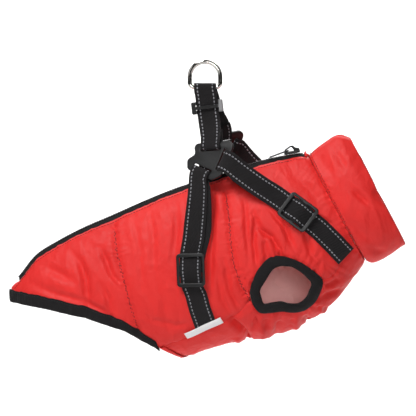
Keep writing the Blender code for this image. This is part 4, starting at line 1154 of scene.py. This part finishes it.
# each strap's slot: its middle on the connector and the angle of its length
CONNECTOR_SLOTS = {"top": ((-2.5, 11.5), 8), "rear": ((-8.5, -10.5), 164),
                   "front": ((13.5, 0.8), 255)}
# rows of the side straps: free of the cloth, lying on it, or at their adjuster
REAR_ROUTE = (("off", -5.5, -133, -28.6), ("off", -6.7, -151, -33.8), ("on", -8.0, -170, 0),
              ("on", -9.5, -186, 0), ("frame", -12.0, -221, 0), ("on", -6.5, -249, 0),
              ("on", -3.0, -263, 0), ("on", 2.0, -279, 0), ("on", 4.0, -286, 0))
FRONT_ROUTE = (("off", 39.0, -114, -37.8), ("off", 60.0, -129, -38.2), ("on", 80.0, -143, 0),
               ("frame", 103.0, -158.5, 0), ("on", 128.0, -177, 0), ("on", 142.0, -191, 0),
               ("on", 155.5, -206, 0))
WEBBING_WIDTH, WEBBING, LIFT_UNDER, LIFT_OVER, REAR_DRIFT = 24.0, 1.6, 1.5, 3.5, 6.5
# in the two free rows: how much of the far connector's shift they take, and how far each
# layer lies from the strap's middle
SHIFT_SHARES, LAYERS_APART = (0.65, 0.3), (1.45, 1.15)
PLATE, SLOT, CONNECTOR_BAR, FRAME, FRAME_LIFT = 3.2, 3.6, 6.0, 3.0, 6.3
RING_WIRE, RING_HALF, RING_BAR_Z, TOP_LAYER_Y = 5.0, 16.8, -25.3, 2.7


def connector_axes(side):
    """Middle and axes of a connector: along, up and out."""
    turn, tilt = radians(CONNECTOR_TURN), radians(CONNECTOR_TILT)
    out = np.array([-sin(turn) * cos(tilt), side * cos(turn) * cos(tilt), sin(tilt)])
    u = np.array([cos(turn), side * sin(turn), 0.0])
    middle = np.array(CONNECTOR) * (1, -side, 1)
    if side == FAR:
        middle = middle + np.array(FAR_CONNECTOR_SHIFT)
    return middle, u, np.cross(out, u) * -side, out


def slot_loop(strap, side):
    """Webbing round the outer bar of a slot, from behind to in front."""
    middle, u, v, out = connector_axes(side)
    (slot_u, slot_v), angle = CONNECTOR_SLOTS[strap]
    angle = radians(angle)
    away, across = -sin(angle) * u + cos(angle) * v, cos(angle) * u + sin(angle) * v
    half = CONNECTOR_BAR / 2
    bar = middle + slot_u * u + slot_v * v + away * (SLOT / 2 + half)
    face = PLATE / 2 + SEAM_GAP + WEBBING / 2
    turn = half + SEAM_GAP + WEBBING / 2
    path = ((half + 1, -face), (-half + 0.4, -face), (-turn + 0.35, -face * 0.72),
            (-turn, -face * 0.3), (-turn, face * 0.3), (-turn + 0.35, face * 0.72),
            (-half + 0.4, face), (half + 1, face))
    return [bar + away * a + out * o for a, o in path], away, across, out


def frame_axes(route, side):
    """Middle and axes of a strap adjuster on its route: across, along and out."""
    k = next(k for k, row in enumerate(route) if row[0] == "frame")
    point, out = on_side(route[k][1], route[k][2], side)
    along = on_side(*route[k + 1][1:3], side)[0] - on_side(*route[k - 1][1:3], side)[0]
    along = unit(along - out * np.dot(along, out))
    return point, np.cross(out, along), along, out


def finer(route, spacing=11.0):
    """The route with more rows where it lies on the cloth."""
    rows = [route[0]]
    for row in route[1:]:
        before = rows[-1]
        if row[0] == "on" and before[0] == "on":
            parts = int(hypot(row[1] - before[1], row[2] - before[2]) / spacing) + 1
            for k in range(1, parts):
                rows.append(("on", before[1] + (row[1] - before[1]) * k / parts,
                             before[2] + (row[2] - before[2]) * k / parts, 0))
        rows.append(row)
    return rows


print("adjusters:", [frame_axes(route, NEAR)[0].round(1).tolist()
                     for route in (REAR_ROUTE, FRONT_ROUTE)])


# %% [markdown]
# ## Connectors and adjusters
# Both are flat mouldings with round edges. Each is drawn as an outline with its slots, as
# a flat curve that is filled, given its thickness and bevelled, and then made a mesh.

# %% Moulded plates
CONNECTOR_OUTLINE = ((-26.0, 16.1, 5), (27.6, 23.6, 7), (16.5, -17.5, 4), (6.0, -22.8, 5),
                     (-28.0, -13.0, 5), (-30.5, -2.0, 5), (-21.0, 4.5, 4))
FRAME_WIDTH, FRAME_LENGTH, FRAME_BAR, FRAME_SLOT, SLOT_LENGTH = 31.0, 36.5, 4.4, 12.0, 25.6
CONNECTOR_EDGE, FRAME_EDGE = 0.75, 0.8


def rounded(corners, steps=8):
    """The outline with each corner (x, y, radius) turned into an arc."""
    outline = []
    for k, (x, y, radius) in enumerate(corners):
        corner = Vector((x, y))
        back = (Vector(corners[k - 1][:2]) - corner).normalized()
        ahead = (Vector(corners[(k + 1) % len(corners)][:2]) - corner).normalized()
        half = back.angle(ahead) / 2
        middle = corner + (back + ahead).normalized() * (radius / sin(half))
        first = corner + back * (radius * cos(half) / sin(half)) - middle
        last = corner + ahead * (radius * cos(half) / sin(half)) - middle
        outline += [middle + first.lerp(last, step / steps).normalized() * radius
                    for step in range(steps + 1)]
    return outline


def box_outline(width, height, radius, centre=(0.0, 0.0), turn=0.0):
    c, s = cos(turn), sin(turn)
    corners = [(x * width / 2, y * height / 2) for x, y in ((-1, -1), (1, -1), (1, 1), (-1, 1))]
    return rounded([(centre[0] + x * c - y * s, centre[1] + x * s + y * c, radius)
                    for x, y in corners], 5)


def moulded(node, outlines, thick, origin, u, v, edge):
    """A plate that stands for a node: local x and y run along u and v from origin."""
    curve = bpy.data.curves.new("outline", "CURVE")
    curve.dimensions, curve.fill_mode = "2D", "BOTH"
    curve.extrude, curve.bevel_depth = (thick / 2 - edge) * MM, edge * MM
    curve.bevel_resolution, curve.offset = 3, -edge * MM
    for outline in outlines:
        spline = curve.splines.new("POLY")
        spline.points.add(len(outline) - 1)
        for point, (x, y) in zip(spline.points, outline):
            point.co = (x * MM, y * MM, 0.0, 1.0)
        spline.use_cyclic_u = True
    drawn = bpy.data.objects.new("outline", curve)
    bpy.context.scene.collection.objects.link(drawn)
    bpy.context.view_layer.update()
    flat = bpy.data.meshes.new_from_object(drawn.evaluated_get(
        bpy.context.evaluated_depsgraph_get()))
    mesh = bmesh.new()
    mesh.from_mesh(flat)
    bpy.data.objects.remove(drawn)
    bpy.data.curves.remove(curve)
    bpy.data.meshes.remove(flat)
    u, v = Vector(u).normalized(), Vector(v).normalized()
    bmesh.ops.transform(mesh, matrix=Matrix.Translation(Vector(origin) * MM)
                        @ axes(u, v, u.cross(v)), verts=mesh.verts)
    bmesh.ops.remove_doubles(mesh, verts=mesh.verts, dist=0.01 * MM)
    bmesh.ops.recalc_face_normals(mesh, faces=mesh.faces)
    piece = keep(f"{node}_moulding", mesh, PLASTIC, node=node, slot="black_plastic")
    piece.data.set_sharp_from_angle(angle=radians(35))
    return piece


for word, side in SIDES:
    middle, u, v, _out = connector_axes(side)
    slots = [box_outline(SLOT_LENGTH, SLOT, 1.2, centre, radians(angle))
             for centre, angle in CONNECTOR_SLOTS.values()]
    piece = moulded(f"y_connector_{word}", [rounded(CONNECTOR_OUTLINE), *slots], PLATE,
                    middle, u, v, CONNECTOR_EDGE)
    slots = [box_outline(WEBBING_WIDTH + 0.9, FRAME_SLOT, 1.5,
                         (0.0, sign * (FRAME_SLOT + FRAME_BAR) / 2)) for sign in (-1, 1)]
    for strap, route in (("rear", REAR_ROUTE), ("front", FRONT_ROUTE)):
        point, across, along, out = frame_axes(route, side)
        frame_piece = moulded(f"{strap}_adjuster_{word}",
                              [box_outline(FRAME_WIDTH, FRAME_LENGTH, 4.0), *slots], FRAME,
                              point + out * FRAME_LIFT, across, along, FRAME_EDGE)
print("connector faces:", len(piece.data.polygons), "adjuster:", len(frame_piece.data.polygons))


# %% Smooth webbing from rows
def smoothed(points, spacing=2.2):
    """Rows on a smooth curve through the given rows, about spacing apart."""
    step = np.linalg.norm(np.diff(points[:, points.shape[1] // 2], axis=0), axis=1)
    step = step[:, None, None]
    slope = np.diff(points, axis=0) / step
    inner = (slope[:-1] * step[1:] + slope[1:] * step[:-1]) / (step[1:] + step[:-1])
    ways = np.concatenate([slope[:1], inner, slope[-1:]])
    rows = []
    for k, length in enumerate(step.ravel()):
        parts = max(1, round(length / spacing))
        for f in np.arange(parts) / parts:
            a, b, c, d = hermite(f)
            rows.append(points[k] * a + ways[k] * (b * length)
                        + points[k + 1] * c + ways[k + 1] * (d * length))
    return np.array([*rows, points[-1]])


STEPS_ACROSS = np.linspace(-0.5, 0.5, 9)
MIDDLE, LAST = 4, 8
# pale stitches: size, pitch, place between border and middle as two shares, and height
DASH, DASH_PITCH, DASH_SHARES, DASH_LIFT = (2.35, 1.25, 0.5), 4.1, (0.69, 0.31), 0.78


def make_webbing(name, points, face_way):
    """Webbing on smooth rows; face_way turns its good side out on the last row."""
    points = smoothed(points)
    along, across = np.gradient(points, axis=0), np.gradient(points, axis=1)
    out = np.cross(along, across)
    out = out / np.linalg.norm(out, axis=-1, keepdims=True)
    if np.dot(out[-1, MIDDLE], face_way) < 0:
        points, out = points[:, ::-1], -out
    mesh = laid_grid(points)
    mesh.normal_update()
    mesh.faces.ensure_lookup_table()
    # the grid's own faces may point the other way
    middle = max(mesh.faces, key=lambda face: face.index)
    nearest = np.linalg.norm(points[:-1, :-1].reshape(-1, 3)
                             - np.array(middle.calc_center_median()) / MM, axis=1).argmin()
    if Vector(out[:-1, :-1].reshape(-1, 3)[nearest]).dot(middle.normal) < 0:
        bmesh.ops.reverse_faces(mesh, faces=mesh.faces)
    piece = keep(f"{name}_webbing", mesh, WEBBING_CLOTH, node=name, slot="black_webbing")
    thicken(piece, 1.5, offset=0.0, bevel=0.35)
    dashes = []
    for border, start in ((0, 3), (LAST, 5)):
        line = points[:, border] * DASH_SHARES[0] + points[:, MIDDLE] * DASH_SHARES[1]
        dashes += along_line(line + out[:, MIDDLE] * DASH_LIFT, out[:, MIDDLE], DASH_PITCH, start)
    sewn = blocks(f"{name}_pale_stitches", dashes, DASH, GREY_THREAD, 0.18)
    length = declare_strip(piece, WEBBING_WIDTH)
    print(piece.name, length, "m, dashes:", len(dashes))


def side_rows(strap, route, side):
    """Rows of a rear or front strap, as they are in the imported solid."""
    route = finer(route)
    loop, away, slot_across, out = slot_loop(strap, side)
    shift = np.array(FAR_CONNECTOR_SHIFT) if side == FAR else np.zeros(3)
    frame_point, frame_across, frame_along, frame_out = frame_axes(route, side)
    middles = [(loop[0] + loop[-1]) / 2]
    for k, (kind, x, z, y) in enumerate(route):
        if kind == "off":
            middles.append(np.array([x, -side * y, z]) + shift * SHIFT_SHARES[k])
        else:
            middles.append(on_side(x, z, side, (LIFT_UNDER + LIFT_OVER) / 2)[0])
    flip = 1 if np.dot(np.cross(out, away), slot_across) > 0 else -1

    def turned(k, f):
        way = unit(middles[min(k + 1, len(middles) - 1)] - middles[k - 1])
        x, _, z = middles[k]
        normal = unit(out * (1 - f) + on_side(x, z, side)[1] * f)
        across = unit(np.cross(normal, way)) * flip
        return across, unit(np.cross(way, across)) * flip

    # steps along from the adjuster's middle, and the upper layer's lift at each
    high = FRAME_LIFT + FRAME / 2 + 0.4 + WEBBING / 2 - 0.2
    over_frame = ((-14.6, LIFT_OVER + 0.1), (-8, 6.1), (-3.0, high), (3.0, high), (8, 6.1),
                  (14.6, LIFT_OVER + 0.1))
    under, over, passed = [], [], False
    for k, (kind, x, z, _y) in enumerate(route, 1):
        if kind == "off":
            across, normal = turned(k, k / 3)
            part = LAYERS_APART[k - 1]
            over.append((middles[k] + normal * part, across, None))
            under.append((middles[k] - normal * part, across, None))
        elif kind == "on":
            across, normal = turned(k, 1.0)
            spot = on_side(x, z, side)[0]
            over.append((spot, across, LIFT_UNDER if passed else LIFT_OVER))
            if not passed:
                under.append((spot, across, LIFT_UNDER))
        else:
            passed = True
            across = frame_across * (1 if np.dot(frame_across, turned(k, 1.0)[0]) > 0 else -1)
            for step, lift in over_frame:
                spot = frame_point + frame_along * step + frame_out * lift
                over.append((spot, across, None))
            for step in (-14, 0):
                under.append((frame_point + frame_along * step, across, LIFT_UNDER))
    # the layer behind a rear strap lies a little forward of the upper one
    drift = REAR_DRIFT if strap == "rear" else 0.0
    under = [(middle + across * copysign(drift * sin(pi * (k + 0.6) / len(under)), across[0]),
              across, lift) for k, (middle, across, lift) in enumerate(under)]
    rows = []
    for middle, across, lift in [*under[::-1], *[(p, slot_across, None) for p in loop], *over]:
        spots = middle + across * (STEPS_ACROSS * WEBBING_WIDTH)[:, None]
        if lift is not None:
            spots = on_side(spots[:, 0], spots[:, 2], side, lift)[0]
        rows.append(spots)
    return np.array(rows), on_side(*route[-1][1:3], side)[1]


# %% Side straps
for word, side in SIDES:
    for strap, route in (("rear", REAR_ROUTE), ("front", FRONT_ROUTE)):
        rows, face_way = side_rows(strap, route, side)
        make_webbing(f"{strap}_strap_{word}", rows, face_way)


# %% Top strap
def top_slope(side):
    """How far the top strap leans forward on its way down, on one side."""
    middle, u, v, _ = connector_axes(side)
    slot_u, slot_v = CONNECTOR_SLOTS["top"][0]
    bar = middle + slot_u * u + slot_v * v
    return bar[0] / (RING_BAR_Z - bar[2] - 5.0)


# where the two layers of the top strap meet under the ring
CLIMB_END_Z = -54.0
halves = []
for side in (NEAR, FAR):
    loop, away, slot_across, out = slot_loop("top", side)
    slope = top_slope(side)
    x_way = unit(np.array([1.0, 0.0, slope]))
    if slot_across[0] < 0:
        slot_across = -slot_across
    start = loop[-1]
    end = np.array([slope * (RING_BAR_Z - CLIMB_END_Z), side * TOP_LAYER_Y, CLIMB_END_Z])
    reach = np.linalg.norm(end - start)
    rise = unit(np.array([-slope, 0.0, 1.0]))
    climb = []
    for f in (0.17, 0.33, 0.5, 0.67, 0.84, 1.0):
        a, b, c, d = hermite(f)
        spot = start * a + away * reach * b + end * c + rise * reach * d
        ease = f * f * (3 - 2 * f)
        climb.append((spot, unit(slot_across * (1 - ease) + x_way * ease)))
    # the cut end lies behind the first two rows of the climb
    behind = [(climb[k][0] - out * gap, climb[k][1]) for k, gap in ((1, 3.4), (0, 4.7))]
    rows = [*behind, *[(point, slot_across) for point in loop], *climb]
    for z, y in ((-41.0, TOP_LAYER_Y), (-34.0, TOP_LAYER_Y + 0.15)):
        rows.append((np.array([slope * (RING_BAR_Z - z), side * y, z]), x_way))
    halves.append(rows)
radius = RING_WIRE / 2 + 0.45 + WEBBING / 2
over_bar = [(np.array([0.0, -radius * cos(radians(a)), RING_BAR_Z + radius * sin(radians(a))]),
             np.array([1.0, 0.0, 0.0])) for a in (-15, 15, 45, 75, 105, 135, 165, 195)]
rows = [*halves[0], *over_bar, *halves[1][::-1]]
ways = np.gradient(np.array([point for point, _ in rows]), axis=0)
grid = []
for (point, across), way in zip(rows, ways):
    across = unit(across - unit(way) * np.dot(across, unit(way)))
    grid.append(point + across * (STEPS_ACROSS * WEBBING_WIDTH)[:, None])
make_webbing("top_strap", np.array(grid), -connector_axes(FAR)[3])

# %% [markdown]
# ## Ring
# The ring is bent from round wire: a half circle above, two short legs, and a straight bar
# that the top strap goes over. A circle spins into the bends and extrudes along the
# straights, and its last section is merged with the first.

# %% Lead ring
BEND = 4.6
# steps of the half circle, of a corner, of a leg and of the bar
ARCH_STEPS, CORNER_STEPS, LEG_STEPS, BAR_STEPS = 48, 12, 2, 6
mesh = bmesh.new()
made = bmesh.ops.create_circle(mesh, segments=24, radius=RING_WIRE / 2 * MM)
rise = RING_WIRE / 2 - RING_HALF
bmesh.ops.translate(mesh, vec=(RING_HALF * MM, 0, rise * MM), verts=made["verts"])
wire = list(dict.fromkeys(edge for vert in made["verts"] for edge in vert.link_edges))


def spin_on(wire, centre, degrees, steps):
    """Bend the wire on round a centre, and give its new end."""
    made = bmesh.ops.spin(mesh, geom=wire, cent=(centre[0] * MM, 0, centre[1] * MM),
                          axis=(0, 1, 0), angle=radians(degrees), steps=steps)
    return [item for item in made["geom_last"] if isinstance(item, bmesh.types.BMEdge)]


def push_on(wire, way, steps):
    """Take the wire straight on, and give its new end."""
    for _ in range(steps):
        made = bmesh.ops.extrude_edge_only(mesh, edges=wire)["geom"]
        verts = [item for item in made if isinstance(item, bmesh.types.BMVert)]
        bmesh.ops.translate(mesh, vec=Vector((way[0], 0, way[1])) * MM / steps, verts=verts)
        wire = [item for item in made if isinstance(item, bmesh.types.BMEdge)
                   and all(vert in verts for vert in item.verts)]
    return wire


corner_z = RING_BAR_Z + BEND
wire = spin_on(wire, (0, rise), -180, ARCH_STEPS)
wire = push_on(wire, (0, corner_z - rise), LEG_STEPS)
wire = spin_on(wire, (-RING_HALF + BEND, corner_z), -90, CORNER_STEPS)
wire = push_on(wire, (2 * (RING_HALF - BEND), 0), BAR_STEPS)
wire = spin_on(wire, (RING_HALF - BEND, corner_z), -90, CORNER_STEPS)
wire = push_on(wire, (0, rise - corner_z), LEG_STEPS)
bmesh.ops.remove_doubles(mesh, verts=mesh.verts, dist=0.02 * MM)
bmesh.ops.recalc_face_normals(mesh, faces=mesh.faces)
piece = keep("lead_ring_wire", mesh, NICKEL, body="ring", node="lead_ring", slot="nickel_plate")
print("ring faces:", len(piece.data.polygons))

# %% [markdown]
# ## Label and stitches
# A small bare label is sewn over the belly seam. Rows of stitches hold the zip, the
# quilting, the seams and the bindings: each stitch is a short bevelled block that lies in
# its groove. The thread is a darker shade of the cloth's own colour.

# %% Care label
LABEL_ROUTE = np.array(((-19.0, -295.0), (-9.0, -290.4), (1.0, -285.5), (11.0, -280.4),
                        (21.0, -275.5)))
LABEL_LIFT, LABEL_HALF = 2.6, 4.0
middle, out = on_side(LABEL_ROUTE[:, 0], LABEL_ROUTE[:, 1], NEAR, LABEL_LIFT)
middle = smoothed(middle[:, None, :], spacing=1.6)[:, 0]
label_at = np.linspace(0, 1, len(middle))
out = np.stack([np.interp(label_at, np.linspace(0, 1, len(LABEL_ROUTE)), out[:, k])
                for k in range(3)], axis=1)
along = unit(middle[-1] - middle[0])
rows = []
for f, point, way in zip(label_at, middle, out):
    across = unit(np.cross(way, along))
    rows.append([point + across * step + way * (0.35 * sin(f * 9.0) + 0.25 * cos(step * 0.8)
                                                + (0.8 if step > 0 else 0.0) * 0.1 * step)
                 for step in np.linspace(-LABEL_HALF, LABEL_HALF, 9)])
mesh = face_out(laid_grid(np.array(rows)), spine_inside)
piece = keep("care_label_tape", mesh, LABEL_CLOTH, node="care_label", slot="white_label")
thicken(piece, 0.45, offset=0.0)
print("label length", declare_strip(piece, LABEL_WIDTH), "m")


# %% Stitches on the cloth
# size, bevel and pitch of each kind of stitch
RED_STITCH, BLACK_STITCH = ((2.4, 0.7, 0.4), 0.12, 3.3), ((2.1, 0.5, 0.35), 0.1, 3.1)
QUILT_STITCH = ((1.9, 1.1, 0.5), 0.15, 2.6)
# from the spine to the zip's row, from the neck seam to the collar's, and its points
ZIP_ROW, COLLAR_ROW, COLLAR_POINTS = ZIP_HALF + 4.8, 2.6, 90


def cloth_line(rows, at, phi, folds=FOLDS, lift=0.0, sewn=SEWN_ROUTES):
    """Points just on the cloth at places of the form, and their ways out."""
    at, phi = np.asarray(at, float), np.asarray(phi, float)
    base, out = surface(rows, at, phi)
    level = lift - pressed(base, folds) - quilted(base, sewn)
    return base + out * level[..., None], out


red_rows, black_rows, quilt_rows = [], [], []
for word, side in SIDES:
    at = np.array([place for place in PLACES if 0.5 < place < 13.9])
    phi = np.array([phi_at(BODY, place, ZIP_ROW) for place in at]) * -side
    red_rows += along_line(*cloth_line(BODY, at, phi), RED_STITCH[2])
    low = np.array([place for place in HEM_PLACES if place > 0.2])
    phi = np.array([phi_at(BODY, place, hem_arc(place) - tape_edge(place) + 2.2)
                    for place in low]) * -side
    black_rows += along_line(*cloth_line(BODY, low, phi, lift=0.95), BLACK_STITCH[2])
    for _depth, _half, _route, small_steps in SEWN_ROUTES:
        spots = np.array(small_steps[1:-1])
        at, phi = place_of(spots[:, 0], spots[:, 1])
        quilt_rows += along_line(*cloth_line(BODY, at, phi * -side, lift=0.25), QUILT_STITCH[2])
points, out = cloth_line(COLLAR, np.full(COLLAR_POINTS, COLLAR_ROW / COLLAR_STEP),
                         np.linspace(0.16, 2 * pi - 0.16, COLLAR_POINTS), COLLAR_FOLDS, sewn=())
red_rows += along_line(points - out * 0.45, out, RED_STITCH[2])
for name, rows, (size, bevel, _pitch), finish, slot in (
        ("red_stitches", red_rows, RED_STITCH, DARK_THREAD, "red_nylon"),
        ("binding_stitches", black_rows, BLACK_STITCH, BLACK_THREAD, "black_tape"),
        ("quilting_stitches", quilt_rows, QUILT_STITCH, DARK_THREAD, "red_nylon")):
    blocks(name, rows, size, finish, bevel, slot=slot)
print("stitches:", len(red_rows) + len(quilt_rows), "red,", len(black_rows), "black")

# %% [markdown]
# ## Floor, light and camera
# The coat hangs over a plain pale floor that curves up far behind it, under large soft
# lamps. The camera sees a plain pale room around it, which lights it only faintly. The
# camera stands almost square to the near side, a little in front and above.

# %% Floor, lamps and camera
FLOOR_Z, BACK_STARTS, PICTURE, SENSOR = -0.62, 1.9, 416, 36
floor_mesh = bmesh.new()
bmesh.ops.create_grid(floor_mesh, x_segments=40, y_segments=80, size=3.4)
for vert in floor_mesh.verts:
    back = max(0.0, vert.co.y - BACK_STARTS)
    vert.co.z = FLOOR_Z + 0.9 * back**1.7
    vert.co.y = vert.co.y - 0.25 * back if vert.co.y > 0 else 0.55 * vert.co.y
    vert.co.x = 0.7 * vert.co.x
pale = bpy.data.materials.new("pale studio paper")
pale.use_nodes = True
shader = pale.node_tree.nodes["Principled BSDF"]
shader.inputs["Base Color"].default_value = (0.93, 0.93, 0.93, 1)
shader.inputs["Roughness"].default_value = 0.9
floor_data = bpy.data.meshes.new("floor")
floor_mesh.to_mesh(floor_data)
floor_mesh.free()
floor_data.shade_smooth()
floor_data.materials.append(pale)
floor = bpy.data.objects.new("floor", floor_data)
bpy.context.scene.collection.objects.link(floor)


def lamp(name, place, aim, size, power):
    light = bpy.data.lights.new(name, "AREA")
    light.shape, light.size, light.size_y = "RECTANGLE", *size
    light.energy = power
    made = bpy.data.objects.new(name, light)
    bpy.context.scene.collection.objects.link(made)
    turned = (Vector(aim) - Vector(place)).to_track_quat("-Z", "Y").to_matrix()
    made.matrix_world = Matrix.Translation(place) @ turned.to_4x4()


lamp("key above", (-0.45, -0.8, 1.05), (0.0, 0.0, -0.15), (0.5, 0.5), 20.5)
lamp("fill front", (0.25, -1.7, 0.3), (0.0, 0.0, -0.2), (0.5, 0.5), 7.5)
lamp("fill left", (-1.4, -0.7, 0.4), (0.0, 0.0, -0.2), (0.7, 0.9), 2.6)
lamp("fill back", (0.5, 1.3, 0.9), (0.0, 0.0, -0.2), (0.8, 0.6), 5.0)
lamp("back wall", (0.0, 1.5, 1.6), (0.0, 2.4, -0.5), (3.0, 0.9), 80)
world = bpy.data.worlds.new("studio")
world.use_nodes = True
tree = world.node_tree
way = node(tree, "ShaderNodeTexCoord").outputs["Generated"]
parts = node(tree, "ShaderNodeSeparateXYZ", [(0, way)]).outputs
upper = maths(tree, "MULTIPLY_ADD", parts["Z"], 0.32, 0.36)
front = node(tree, "ShaderNodeMapRange", [("Value", parts["Y"]), ("From Min", -0.95),
                                          ("From Max", -0.35), ("To Min", 0.12),
                                          ("To Max", 1.0)], interpolation_type="SMOOTHSTEP")
faint = maths(tree, "MULTIPLY", maths(tree, "MULTIPLY", upper, front.outputs["Result"]), 0.05)
seen = node(tree, "ShaderNodeLightPath").outputs["Is Camera Ray"]
tree.links.new(maths(tree, "ADD", faint, seen), tree.nodes["Background"].inputs["Strength"])
tree.nodes["Background"].inputs["Color"].default_value = (1, 1, 1, 1)
bpy.context.scene.world = world
bpy.context.scene.view_settings.view_transform = "Standard"

# metres for each point of the picture, 1.6 m away
turn, tilt, distance, metres = radians(3), radians(9), 1.6, 0.0011
right = Vector((cos(turn), sin(turn), 0))
ahead = Vector((-sin(turn) * cos(tilt), cos(turn) * cos(tilt), -sin(tilt)))
up = right.cross(ahead)
centre = -(right * (-3 * metres) + up * (144 * metres))
camera_data = bpy.data.cameras.new("camera")
camera_data.sensor_width, camera_data.clip_start = SENSOR, 0.01
camera_data.lens = SENSOR * distance / (PICTURE * metres)
camera = bpy.data.objects.new("camera", camera_data)
bpy.context.scene.collection.objects.link(camera)
camera.matrix_world = Matrix.Translation(centre - ahead * distance) @ axes(right, up, -ahead)
bpy.context.scene.camera = camera
print("camera at", [round(v, 3) for v in camera.matrix_world.translation])
